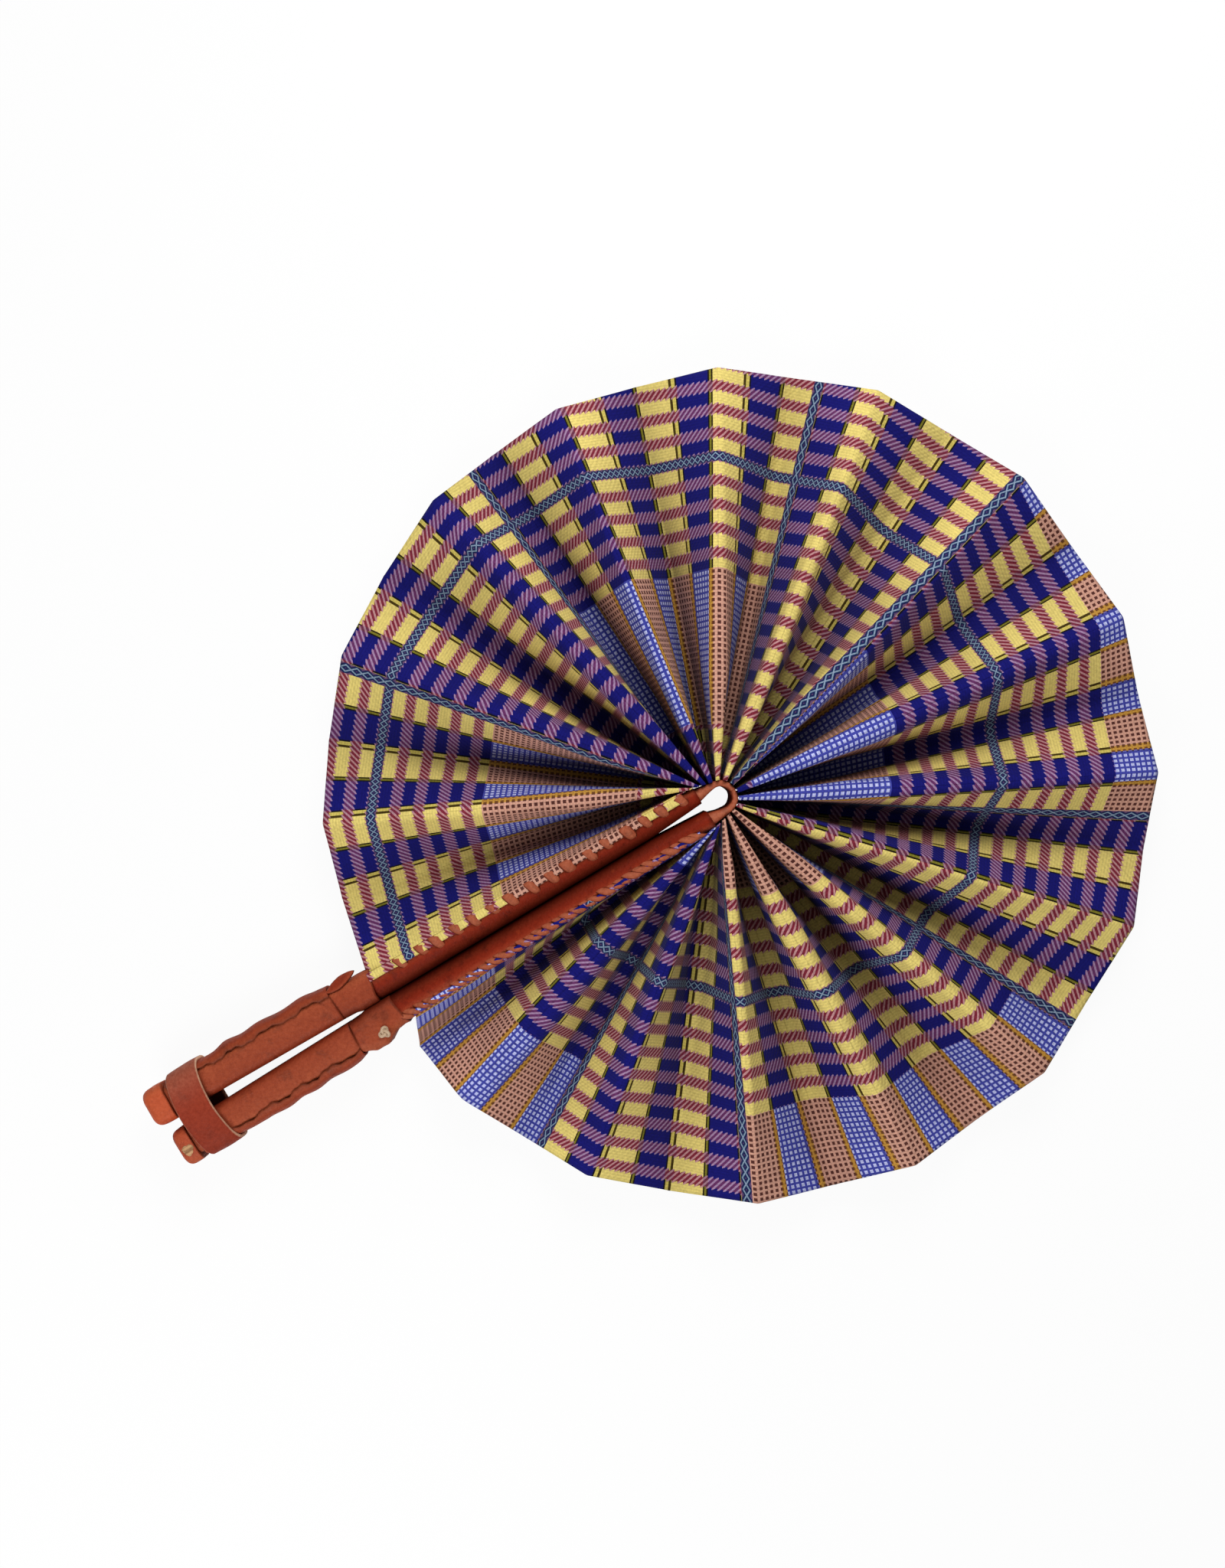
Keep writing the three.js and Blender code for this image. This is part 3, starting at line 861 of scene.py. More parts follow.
    def weave(self, around: Array, inward: Array) -> Array:
        """UV of cloth points, in metres.

        x goes round the leaf, stretched a little so that the zigzag stripes fall where they do on the
        real cloth. y is measured inwards from the zigzag row, which lies 70 mm inside the rim at the
        right stick and 16 mm at the left one, along a cosine, because the strip was cut askew.

        Args:
            around: Millimetres of cloth from the right stick's edge.
            inward: Millimetres from the rim.

        Returns:
            Array with 2 values per point.
        """
        real = np.array(self.stripes)
        i = np.arange(len(real))
        pattern = CLOTH.stripe / 2 + (CLOTH.three + CLOTH.five) * (i // 2) + CLOTH.three * (i % 2)
        x = np.interp(around, real, pattern)
        x = np.where(around < real[0], pattern[0] + around - real[0], x)
        x = np.where(around > real[-1], pattern[-1] + around - real[-1], x)
        share = np.clip((around / (self.panels * LINE.cloth_width) - 0.1) / 0.9, 0, 1)
        nearest, swing = self.zigzag_row
        ring = nearest + swing * (1 + np.cos(math.pi * share))
        return np.stack([x, inward - ring], axis=-1) * MM

    def radii(self, chord: Array) -> Array:
        """Each fold's radius at each row: 0.4 of the narrower chord beside it, up to its own largest.

        Args:
            chord: Plan distance between folds, array (rows, panels).

        Returns:
            Array (rows, panels + 1).
        """
        chance = np.random.default_rng(7)
        largest = self.crest * chance.uniform(0.7, 1.6, self.panels + 1)
        largest[2] = self.soft_crest
        beside = np.minimum(
            np.concatenate([chord[:, :1], chord], axis=1), np.concatenate([chord, chord[:, -1:]], axis=1)
        )
        radius = np.minimum(0.4 * beside, largest)
        radius[:, [0, -1]] = 0.2
        return radius

    def profile(self, chord: Array, a: Array, b: Array, ra: Array, rb: Array) -> tuple[Array, Array, Array]:
        """A panel's cross-section at each row, from fold a to fold b.

        Seen with a on top: an arc of radius ra from a's crest, the straight line that touches both
        arcs, and an arc of radius rb into b's trough. The line's normal is at angle
        t = atan2(-h, chord) + acos((ra + rb) / D), where h is the drop between the arcs' centres and
        D their distance.

        Args:
            chord: Plan distance between the folds.
            a: Height of fold a.
            b: Height of fold b.
            ra: Radius at a.
            rb: Radius at b.

        Returns:
            Distance from a in plan, height, and share of the cloth's way, arrays (rows, points).
        """
        sign = np.where(a > b, 1.0, -1.0)
        top, bottom = sign * a, sign * b
        drop = (top - ra) - (bottom + rb)
        apart = np.hypot(chord, drop)
        turn = np.arctan2(-drop, chord) + np.arccos(np.clip((ra + rb) / apart, -1, 1))
        p = np.linspace(0, 1, self.arc_steps)
        sweep = (math.pi / 2 - turn)[:, None]
        first = math.pi / 2 - sweep * p
        last = (turn + math.pi)[:, None] + sweep * p
        xa = ra[:, None] * np.cos(first)
        za = (top - ra)[:, None] + ra[:, None] * np.sin(first)
        xb = chord[:, None] + rb[:, None] * np.cos(last)
        zb = (bottom + rb)[:, None] + rb[:, None] * np.sin(last)
        q = np.linspace(0, 1, self.flat_steps + 2)[1:-1]
        x = np.concatenate([xa, xa[:, -1:] + (xb[:, :1] - xa[:, -1:]) * q, xb], axis=1)
        z = np.concatenate([za, za[:, -1:] + (zb[:, :1] - za[:, -1:]) * q, zb], axis=1)
        step = np.hypot(np.diff(x, axis=1), np.diff(z, axis=1))
        way = np.concatenate([np.zeros((len(x), 1)), np.cumsum(step, axis=1)], axis=1)
        return x, sign[:, None] * z, way / way[:, -1:]

    def panel(self, k: int, palette: Palette) -> Piece:
        """One panel, between folds k - 1 and k.

        At each row the profile is laid from fold k - 1 to fold k in plan, and a gentle ripple is
        added between them. The fold mark is painted shade: it grows with depth, to the power 1.6, and
        fades to the rim. Near the hub panel 1 shows only the cloth beyond what is tucked, and is
        painted in shade beside the slat.

        Args:
            k: The panel's number, from 1 beside the right stick.
            palette: The finishes.

        Returns:
            The panel, riding on its body.
        """
        start, end = self.folds(handmade=True)
        v = np.linspace(0, 1, self.rows) ** 0.92
        lines = start[None] + (end - start)[None] * v[:, None, None]
        gaps = np.diff(lines, axis=1)
        chord = np.hypot(gaps[..., 0], gaps[..., 1])
        radius = self.radii(chord)
        ridge = np.where(np.arange(self.panels + 1) % 2 == 0, 1.0, -1.0)
        height = ridge * (LINE.pleat_half(v) - self.thickness / 2)[:, None]
        height[:, [0, -1]] = (LINE.pleat_half(v) - 1.0)[:, None]
        x, z, way = self.profile(
            chord[:, k - 1], height[:, k - 1], height[:, k], radius[:, k - 1], radius[:, k]
        )
        v = v[:, None]
        across = gaps[:, k - 1] / chord[:, k - 1 : k]
        plan = lines[:, k - 1, None, :] + across[:, None, :] * x[..., None]
        sag = self.slack * ripple(v * 130, way * 30 + 31 * k, 60, 40 + k) * np.sin(math.pi * way) * v
        points = np.concatenate([plan, (z + sag)[..., None]], axis=-1)
        reach = np.hypot(*(end - start).T)
        inward = (1 - v) * (reach[k - 1] + (reach[k] - reach[k - 1]) * way)
        low = np.clip(0.5 - z / (2 * LINE.pleat_half(v)), 0, 1)
        width = LINE.cloth_width
        under = np.clip((0.8 - v) / 0.3, 0, 1) * (k == 1)
        tucked = self.tucked * under
        # painted shade, growing with depth in a fold and at panel 1's top beside the slat
        fold = np.maximum(low**1.6 * (1 - 0.55 * v), under * (1 - way))
        uv = self.weave((k - 1) * width + tucked + (width - tucked) * way, inward)
        piece = skin(f"cloth_panel_{k:02d}", points, uv, marks={"fold": fold})
        solidify(piece, self.thickness)
        dress(piece, palette.cloth)
        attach(piece, "hub" if k == self.middle else f"panel_{k:02d}")
        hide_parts(f"leaf_panel_{k:02d}")
        self.flatten(piece)
        return piece

    def flatten(self, piece: Piece) -> None:
        """Gives a panel a mesh of its own; the even plan's fold ends are worked out but not used.

        Args:
            piece: The panel.
        """
        start, end = self.folds(handmade=False)
        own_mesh(piece)

    def bound_edge(self, side: Side, palette: Palette) -> Piece:
        """The cloth's own edge, drawn up the slat's outer side and turned over its shoulder.

        Across, it follows points from behind the last fold up and over the shoulder, where the lacing
        holds it; along, it keeps the slat's depth.

        Args:
            side: Which stick.
            palette: The finishes.

        Returns:
            The edge, riding on the stick.
        """
        reach = LINE.reach(side)
        s = np.linspace(14.0, reach, 90)[:, None]
        out = np.array([4.28, 4.28, 4.28, 4.28, 4.3, 4.35, 4.1, 3.6, 2.9, 2.2, 1.6])
        up = np.array([-7.0, -5.0, -3.0, -1.0, -0.3, 0.3, 0.6, 0.72, 0.7, 0.62, 0.5])
        if side is Side.RIGHT:
            out = np.maximum(out, 3.0 + 0.3 * (out - 3.0))
        w = out[None] + 0.25 * ripple(s, out[None] * 0, 9, 3 + side.value) * (out[None] < 3.2)
        points = LINE.at(side, w, s, LINE.depth(s) + up[None])
        beyond = way_along(np.stack([out, up], axis=1)) - 6.5
        around = self.panels * LINE.cloth_width + beyond if side is Side.LEFT else -20.0 - beyond
        uv = self.weave(np.broadcast_to(around, w.shape), np.broadcast_to(reach - s, w.shape))
        piece = skin(f"cloth_edge_{side.label}", points, uv, marks={"fold": np.zeros_like(w)})
        solidify(piece, self.thickness)
        return mount(piece, side, palette.cloth)

    def build(self, palette: Palette) -> list[Piece]:
        """Args:
            palette: The finishes.

        Returns:
            The panels and then the edges.
        """
        panels = [self.panel(k, palette) for k in range(1, self.panels + 1)]
        edges = [self.bound_edge(side, palette) for side in Side]
        return panels + edges


# Sticks


@dataclass(frozen=True)
class Lacing:
    """Thong stitches over the slat's outer shoulder."""

    pitch: float
    half_width: float
    slant: float  # how much farther along the stick a stitch ends than it starts
    cover: float = 1.0  # how far over the shoulder a stitch goes, against the full 4.5 mm
    start: float = 14.0
    end: float = 133.0
    thick: float = 0.44
    shoulder: float = 4.5  # w of the slat's outer side
    shares: tuple[float, ...] = (0, 0.15, 0.35, 0.5, 0.8, 1)  # of a stitch's way, for the next two
    out: tuple[float, ...] = (4.45, 4.7, 4.6, 3.6, 1.4, 0.0)  # w there
    over: tuple[float, ...] = (-4.0, -2.6, 0.2, 0.95, 0.55, -0.35)  # z there, from the slat's edge

    def build(self, side: Side, face: Face, palette: Palette) -> Piece:
        """All the stitches of one edge as one piece.

        A stitch's middle line goes through a few points from the slat's outer side over its shoulder;
        its section is an ellipse, half_width along the stick by half of thick.

        Args:
            side: Which stick.
            face: Front or back edge.
            palette: The finishes.

        Returns:
            The lacing, riding on its stick.
        """
        chance = np.random.default_rng(11 + side.value + 5 * face.value)
        count = int((self.end - self.start) / self.pitch)
        s = self.start + self.pitch * (np.arange(count) + chance.uniform(-0.12, 0.12, count))
        path = np.linspace(0, 1, 13)
        w = np.interp(path, self.shares, self.out)[None]
        rise = np.interp(path, self.shares, self.over)[None]
        reach = chance.uniform(0.85, 1.1, count)[:, None]
        w = self.shoulder - (self.shoulder - w) * reach * np.where(w < self.shoulder, self.cover, 1.0)
        along = s[:, None] + self.slant * (path[None] - 0.5) * chance.uniform(0.8, 1.2, count)[:, None]
        z = LINE.depth(along) + rise + 0.15 * chance.uniform(-1, 1, count)[:, None]
        turn = np.linspace(0, 2 * math.pi, 9)[:-1]
        half = self.half_width * chance.uniform(0.8, 1.15, count)[:, None]
        half = half * (1 - 0.35 * (2 * path[None] - 1) ** 4)
        slope_w, slope_z = np.gradient(w, axis=1), np.gradient(z, axis=1)
        size = np.hypot(slope_w, slope_z)
        out_w, out_z = slope_z / size, -slope_w / size
        flip = np.sign(out_z + 0.4 * out_w)
        lift = self.thick / 2 * np.sin(turn)
        ring_w = w[..., None] + (out_w * flip)[..., None] * lift
        ring_z = z[..., None] + (out_z * flip)[..., None] * lift
        ring_s = along[..., None] + half[..., None] * np.cos(turn)
        points = LINE.at(side, ring_w, ring_s, face.value * ring_z)
        # the thong's outer face is lighter: wear and painted highlight
        rub_and_highlight = np.broadcast_to(np.clip(0.1 + 0.5 * np.sin(turn), 0, 1), ring_w.shape)
        # painted shade: at the thong's two sides along the stick, and where it goes down beside the slat
        rim = 0.55 * np.abs(np.cos(turn)) ** 6
        shade = np.clip(0.8 - 3.2 * path, 0, 0.7)[None, :, None] + rim + 0 * ring_w
        name = f"slat_lacing_{face.label}_{side.label}"
        piece = skin(name, points, wrap=True, marks={"wear_and_highlight": rub_and_highlight, "crease": shade})
        return mount(piece, side, palette.lacing, f"blade_lace_{face.label}_{side.label}")


@dataclass(frozen=True)
class Lap:
    """The grip sleeve's free edge, lapped round its outer side, its hem wavy where it was pulled tight."""

    phase: float
    waves: float = 4.6
    thickness: float = 0.9
    root: float = 4.4  # w that the lap is pressed towards
    swing: float = 0.7  # of the hem
    hem_share: float = 0.2  # how much of the lap's way the hem takes
    shares: tuple[float, ...] = (0, 0.08, 0.22, 0.36, 0.5, 0.7, 0.88, 1)  # of its way, for the next two
    out: tuple[float, ...] = (4.7, 5.4, 6.9, 7.8, 8.0, 7.4, 5.8, 4.2)  # w there
    up: tuple[float, ...] = (5.95, 6.1, 5.2, 3.0, 0.0, -3.8, -5.8, -6.15)  # z there
    pressed_at: tuple[float, ...] = (148, 152, 160, 189, 197, 213)  # s, for the next one
    pressed: tuple[float, ...] = (0.7, 0.95, 1.0, 1.0, 0.7, 0.66)  # how far it still stands out there

    def build(self, side: Side, grip: tuple[float, float], palette: Palette) -> Piece:
        """The lap, a sheet with a wall.

        Across, it follows a bow from the front over the outer side to the back; the front hem moves
        by a sine along the grip and rises at the crests, which leaves the dark line there; painted shade
        along the hem darkens it more.

        Args:
            side: Which stick.
            grip: Where the grip starts and ends.
            palette: The finishes.

        Returns:
            The lap, riding on its stick.
        """
        s = np.linspace(grip[0] + 0.7, grip[1] - 1.6, 120)[:, None]
        t = (s - s[0]) / (s[-1] - s[0])
        turns = self.waves * t + 0.12 * np.sin(9 * t + self.phase)
        wave = np.sin(2 * math.pi * turns + self.phase) + 0.4 * np.sin(6 * math.pi * turns + 1.3)
        belly = np.sin(2 * math.pi * turns + self.phase + 2.2)
        p = np.linspace(0, 1, 15)[None]
        w = np.interp(p, self.shares, self.out) + 0 * s
        z = np.interp(p, self.shares, self.up) + 0 * s
        w = self.root + (w - self.root) * np.interp(s, self.pressed_at, self.pressed)
        hem = np.clip(1 - p / self.hem_share, 0, 1)
        w = w - self.swing * wave * hem + 0.3 * belly * np.sin(math.pi * p)
        z = z + 0.2 * hem * np.maximum(wave, 0)
        rub_and_highlight = np.clip(0.25 + 0.5 * hem + 0 * s, 0, 1)
        # painted shade along the hem's inner edge, the dark line between lap and grip
        shade = np.clip(1 - p / 0.09, 0, 0.6) + 0 * s
        points = LINE.at(side, w, s, z)
        piece = skin(f"grip_flap_{side.label}", points, marks={"wear_and_highlight": rub_and_highlight, "crease": shade})
        solidify(piece, self.thickness)
        return mount(piece, side, palette.leather, f"grip_lap_{side.label}")


@dataclass(frozen=True)
class CollarFold:
    """A corner of the left collar's leather, folded over on itself and pressed flat."""

    s: float = 143.6
    w: float = 6.5
    z: float = 5.6
    half_long: float = 6.4
    half_wide: float = 2.4
    half_thick: float = 0.9
    lean: float = math.radians(9)  # towards the other stick, as it goes along
    dip: float = math.radians(38)  # down over the collar's outer side
    corners: float = 1.4  # the outline's power: 1 is a lozenge and 2 an ellipse

    def build(self, stick: Stick, palette: Palette) -> Piece:
        """A pillow: its outline is |a|^1.4 + |b|^1.4 = 1, its thickness falls as the root of 1 - r^4.

        Args:
            stick: The stick whose collar it belongs to.
            palette: The finishes.

        Returns:
            The fold, riding on its stick.
        """
        turn = np.linspace(0, 2 * math.pi, 41)[:-1]
        r = np.linspace(0.02, 1, 12)[:, None]
        size = np.abs(np.cos(turn)) ** self.corners + np.abs(np.sin(turn)) ** self.corners
        size = r * size ** (-1 / self.corners)
        a, b = self.half_long * size * np.cos(turn), self.half_wide * size * np.sin(turn)
        thick = self.half_thick * np.sqrt(1 - r**4) + 0 * a
        top = np.stack([a, b, thick + 0.25 * ripple(a, b, 4, 17)], axis=-1)
        low = np.stack([a, b, -thick], axis=-1)[::-1]
        a, b, c = np.moveaxis(np.concatenate([top, low[1:]], axis=0), -1, 0)
        s = self.s + a * math.cos(self.lean) - b * math.sin(self.lean) * math.cos(self.dip)
        w = self.w - a * math.sin(self.lean) + b * math.cos(self.lean) * math.cos(self.dip)
        w = w + c * math.sin(self.dip)
        z = self.z - b * math.sin(self.dip) + c * math.cos(self.dip)
        rub_and_highlight = np.clip(0.7 * (np.hypot(a / self.half_long, b / self.half_wide)) ** 3, 0, 1) * (c > 0)
        # painted shade on the fold's underside
        shade = np.clip(0.7 * (c < 0.1) + 0 * a, 0, 1)
        points = LINE.at(stick.side, w, s, z)
        piece = skin("collar_fold_left", points, wrap=True, marks={"wear_and_highlight": rub_and_highlight, "crease": shade})
        return mount(piece, stick.side, palette.leather)


@dataclass(frozen=True)
class WornSpot:
    """The core's end, bare where the right tip's leather is worn through."""

    s: float = 216.0
    w: float = 2.5
    half_long: float = 2.0
    half_wide: float = 1.9
    crown: float = 0.35  # how far its middle stands up
    foot: float = 0.9  # how far its edge goes down into the leather

    def build(self, stick: Stick, palette: Palette) -> Piece:
        """A low dome that follows the tip: an uneven ellipse, its height falling as 1 - r^2.

        Args:
            stick: The stick whose tip it is in.
            palette: The finishes.

        Returns:
            The spot, riding on the stick.
        """
        turn = np.linspace(0, 2 * math.pi, 29)[:-1]
        r = np.linspace(1, 0.03, 8)[:, None]
        rough = 1 + 0.12 * np.sin(3 * turn + 1) + 0.06 * np.sin(7 * turn)
        w = self.w + self.half_wide * r * rough * np.cos(turn)
        s = self.s + self.half_long * r * rough * np.sin(turn)
        z = stick.tip_depth(stick.tip_fullness(s)) + 0.05 + self.crown * (1 - r**2)
        foot = np.stack([w[:1], s[:1], z[:1] - self.foot], axis=-1)
        grid = np.concatenate([foot, np.stack([w, s, z], axis=-1)], axis=0)
        points = LINE.at(stick.side, grid[..., 0], grid[..., 1], grid[..., 2])
        return mount(skin("tip_wood_right", points, wrap=True), stick.side, palette.wood)


@dataclass(frozen=True)
class Stick:
    """One stick: slat leather, lacing, collar, grip with its lapped seam, and tip."""

    side: Side
    lacing: Lacing
    lap: Lap
    extra: CollarFold | WornSpot  # what only this stick has
    tip_end: float
    tip_out: float  # w of the tip's outer side
    tip_in: float  # and of its inner side, beyond w = 0
    collar: tuple[float, float]  # where it starts and ends
    collar_out: tuple[float, ...]  # how proud its outer side stands, at five places along it
    grip: tuple[float, float] = (148.3, 213.0)  # where it starts and ends
    grip_side: tuple[float, float] = (-5.15, 5.7)  # w of its inner and outer side
    grip_deep: float = 5.9  # half its depth
    gap: float = 0.3  # from the grip to the tip
    corner: int = 8  # steps round a rounded corner

    def tube(
        self,
        name: str,
        s: Array,
        low: Array,
        high: Array,
        deep: Array,
        inner: Array,
        outer: Array,
        relief: float,
        seed: int,
        slip: Array | float = 0.0,
        tall: Array | None = None,
        groove: Array | float = 0.0,
        reach: float = 3.4,
    ) -> Piece:
        """Leather round the stick, with a hand-worked unevenness that fades out at its inner side.

        Each section is a rounded rectangle whose points move out from its middle by a ripple.

        Args:
            name: The piece's name, without its side.
            s: Stations.
            low: Inner w at each station.
            high: Outer w at each station.
            deep: Half depth at each station.
            inner: Radius of the inner corners.
            outer: Radius of the outer corners.
            relief: Height of the unevenness, in millimetres.
            seed: Its seed, without its side.
            slip: Extra s for each point, array (stations, ring points), or one number.
            tall: Height of the inner corners, or None.
            groove: How much painted shade the leather gets towards its inner side, 0 to 1, one
            number or one per station.
            reach: How far from the inner side that starts, in millimetres.

        Returns:
            The piece, with its marks: rubbed places, and painted shade.
        """
        w, z = rounded_ring(low, high, deep, inner, outer, self.corner, tall)
        middle = (low + high)[:, None] / 2
        size = np.hypot(w - middle, z)
        bump = relief * ripple(s[:, None], 12 * np.arctan2(z, w - middle), 11, seed + self.side.value)
        bump = bump * np.clip((w - low[:, None]) / 2, 0, 1)
        w, z = w + bump * (w - middle) / size, z + bump * z / size
        points = LINE.at(self.side, w, np.broadcast_to(s[:, None], w.shape) + slip, z)
        turn = np.arctan2(z / deep[:, None], (w - middle) / ((high - low)[:, None] / 2))
        rub_and_highlight = np.clip(0.15 + 0.7 * np.abs(np.sin(2 * turn)) ** 3 * (z > 0), 0, 1)
        # painted shade: within 0.9 mm of each end, where the piece meets the next, and towards the inner
        # side
        ends = np.minimum(s - s[0], s[-1] - s)[:, None]
        shade = np.clip(0.5 - ends / 0.9, 0, 0.45) + 0 * w
        into = np.clip((low[:, None] + reach - w) / reach, 0, 1)
        shade = np.maximum(shade, (np.ones_like(s) * groove)[:, None] * into**1.3)
        marks = {"wear_and_highlight": rub_and_highlight * (1 - into), "crease": shade}
        return skin(f"{name}_{self.side.label}", points, wrap=True, marks=marks)

    def slat(self, palette: Palette) -> Piece:
        """The leather over the slat, which narrows to the eye at the hub.

        Its inner corners are long and tall, so that the two slats roll down to the line between them.

        Args:
            palette: The finishes.

        Returns:
            The leather, riding on the stick.
        """
        s = np.concatenate([np.linspace(LINE.blade_start, 30, 16), np.linspace(32, LINE.blade_end, 60)])
        low, high = LINE.inner_face(s), np.full_like(s, LINE.blade_half)
        deep = LINE.depth(s)
        inner = np.clip(high - low - 3.2, 1.5, 5.4)
        piece = self.tube(
            "slat_leather", s, low, high, deep, inner, np.minimum(2.4, (high - low) / 2),
            relief=0.12, seed=21, tall=np.minimum(7.5, 0.85 * deep) * inner / 5.4,
            # painted shade down into the groove between the two slats
            groove=np.interp(s, [8, 14, 34], [0.2, 0.5, 0.95]), reach=6.0,
        )
        return mount(piece, self.side, palette.slat, f"blade_wrap_{self.side.label}")

    def collar_wrap(self, palette: Palette) -> Piece:
        """The patch of leather that binds the end of the slat, its outer side proud and ragged.

        Its outer side runs through the five heights of collar_out with a ripple added, and its two
        ends slip along the stick as they go outwards.

        Args:
            palette: The finishes.

        Returns:
            The collar, riding on the stick.
        """
        s = np.linspace(self.collar[0], self.collar[1], 30)
        one = np.ones_like(s)
        t = (s - s[0]) / (s[-1] - s[0])
        proud = np.interp(t, [0, 0.24, 0.5, 0.76, 1], self.collar_out)
        bulge = 0.25 * np.sin(math.pi * t) + proud + 0.22 * ripple(s, 0 * s, 3.5, 91 + self.side.value)
        low = LINE.across(np.interp(s, [135, 141.5, 143.5, 148], [0.0, 0.0, 0.6, 0.85]), s)
        w, _ = rounded_ring(low, 5.2 * one, 6.8 * one, 3.0 * one, 3.0 * one, self.corner)
        slip = -1.6 * np.clip(w / 5, -0.2, 1) * (1 - t[:, None]) + 1.2 * np.clip(w / 5, 0, 1) * t[:, None]
        piece = self.tube(
            "collar_leather", s, low, 5.1 * one + bulge, 6.75 * one + 0.2 * bulge, 3.0 * one, 3.0 * one,
            relief=0.4, seed=31, slip=slip, groove=0.7, reach=4.0,
        )
        return mount(piece, self.side, palette.leather, f"collar_{self.side.label}")

    def grip_wrap(self, palette: Palette) -> Piece:
        """The sleeve that the hand holds: a straight tube, a little thicker and thinner along it.

        Args:
            palette: The finishes.

        Returns:
            The sleeve, riding on the stick.
        """
        s = np.linspace(self.grip[0], self.grip[1], 70)
        one = np.ones_like(s)
        thick = 0.12 * ripple(s, 0 * s, 24, 41 + self.side.value)
        low, high = self.grip_side
        piece = self.tube(
            "grip_leather", s, low * one, high * one + thick, self.grip_deep * one + thick, 2.8 * one,
            2.4 * one, relief=0.16, seed=51, groove=0.25,
        )
        return mount(piece, self.side, palette.leather, f"grip_sleeve_{self.side.label}")

    def tip_fullness(self, s: Array) -> Array:
        """The tip's section at s, as a share of the full one: (1 - t^5) to the power 1 / 2.2."""
        start = self.grip[1] + self.gap
        t = np.clip((s - start) / (self.tip_end - start), 0, 1)
        return np.maximum(0.02, (1 - t**5) ** (1 / 2.2))

    def tip_depth(self, share: Array) -> Array:
        """Half the tip's depth where its section is that share of the full one."""
        return 0.5 + 5.7 * share

    def tip(self, palette: Palette) -> Piece:
        """The closed end, whose section shrinks as tip_fullness says.

        Args:
            palette: The finishes.

        Returns:
            The tip, riding on the stick.
        """
        t = np.concatenate([np.linspace(0, 0.6, 10), 1 - 0.4 * (1 - np.linspace(0.06, 1, 16)) ** 1.7])
        start = self.grip[1] + self.gap
        s = start + (self.tip_end - start) * t
        k = self.tip_fullness(s)
        middle = (self.tip_out - self.tip_in) / 2
        half = (self.tip_out + self.tip_in) / 2 * (0.3 + 0.7 * k)
        piece = self.tube(
            "tip_leather", s, middle - half, middle + half, self.tip_depth(k),
            np.minimum(3.0, 0.4 + 2.6 * k), np.minimum(3.4, 0.4 + 3 * k), relief=0.22, seed=61,
        )
        soften_edges(piece, 0.5)
        # both tips take lighter leathers than the grips: painted light
        leather = palette.handled if self.side is Side.LEFT else palette.tip
        return mount(piece, self.side, leather, f"tip_cap_{self.side.label}")

    def build(self, palette: Palette) -> list[Piece]:
        """Builds the stick's pieces and gives its wooden core a finish.

        Args:
            palette: The finishes.

        Returns:
            The pieces.
        """
        made = [self.slat(palette), self.collar_wrap(palette), self.grip_wrap(palette)]
        made += [self.lap.build(self.side, self.grip, palette), self.tip(palette)]
        made += [self.extra.build(self, palette)]
        made += [self.lacing.build(self.side, face, palette) for face in Face]
        dress(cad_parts[f"stick_core_{self.side.label}"], palette.wood)
        return made


# Hub and ring


@dataclass(frozen=True)
class HubLoop:
    """The leather loop round the eye, in two halves, one running to each stick."""

    outer: float = 5.5  # its outer radius
    inner: float = 4.1  # and its inner one, which is the eye's
    centre: float = -2.0  # y of the eye's middle
    leg_x: float = 4.55  # x of the legs' ends
    leg_end: float = 9.3  # how far from the hub they end
    deep: float = 13.3  # half its depth
    bend: float = 0.55  # the share of each half that is bent

    def half(self, side: Side, palette: Palette) -> Piece:
        """Half of the loop: a band on edge that follows the middle line of the eye's wall.

        The line is a quarter circle about the eye, from straight ahead to the side, and then a curve
        down to the slat. Its section is a rounded rectangle, 2 wall thick and 2 deep high.

        Args:
            side: Which stick it runs to.
            palette: The finishes.

        Returns:
            The half, running from the hub round to its stick.
        """
        p = np.linspace(0, 1, 34)
        quarter = np.clip(p / self.bend, 0, 1) * math.pi / 2
        leg = np.clip((p - self.bend) / (1 - self.bend), 0, 1)
        middle = (self.outer + self.inner) / 2
        x = middle * np.sin(quarter)
        y = self.centre + middle * np.cos(quarter)
        x = np.where(leg > 0, middle + (self.leg_x - middle) * (3 * leg**2 - 2 * leg**3), x)
        y = np.where(leg > 0, self.centre - leg * (self.leg_end + self.centre), y)
        wall = (self.outer - self.inner) / 2 + 0.35 * np.sin(quarter) + 1.4 * leg**1.3
        dx, dy = np.gradient(x), np.gradient(y)
        size = np.hypot(dx, dy)
        nx, ny = -dy / size, dx / size
        across, up = rounded_ring(-wall, wall, self.deep - 0.3 * (1 - leg), 0.9 * wall, 0.9 * wall, 6)
        across = across + 0.12 * ripple(p[:, None] * 20, up, 5, 71 + side.value)
        at_edge = np.abs(up) > self.deep - 2
        up = up + 0.2 * ripple(p[:, None] * 25, across * 2, 4, 75 + side.value) * at_edge
        x, y = x[:, None] + nx[:, None] * across, y[:, None] + ny[:, None] * across
        points = np.stack([side.value * x, y, up], axis=-1)
        rub_and_highlight = np.clip((np.abs(up) - self.deep + 2.5) / 2.5, 0, 1) * 0.7
        marks = {"wear_and_highlight": rub_and_highlight, "crease": 0 * rub_and_highlight}
        piece = skin(f"hub_loop_{side.label}", points, wrap=True, marks=marks)
        dress(piece, palette.lacing)
        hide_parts("hub_strap")
        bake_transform(piece)
        return piece

    def build(self, palette: Palette) -> list[Piece]:
        """Builds both halves."""
        return [self.half(side, palette) for side in Side]


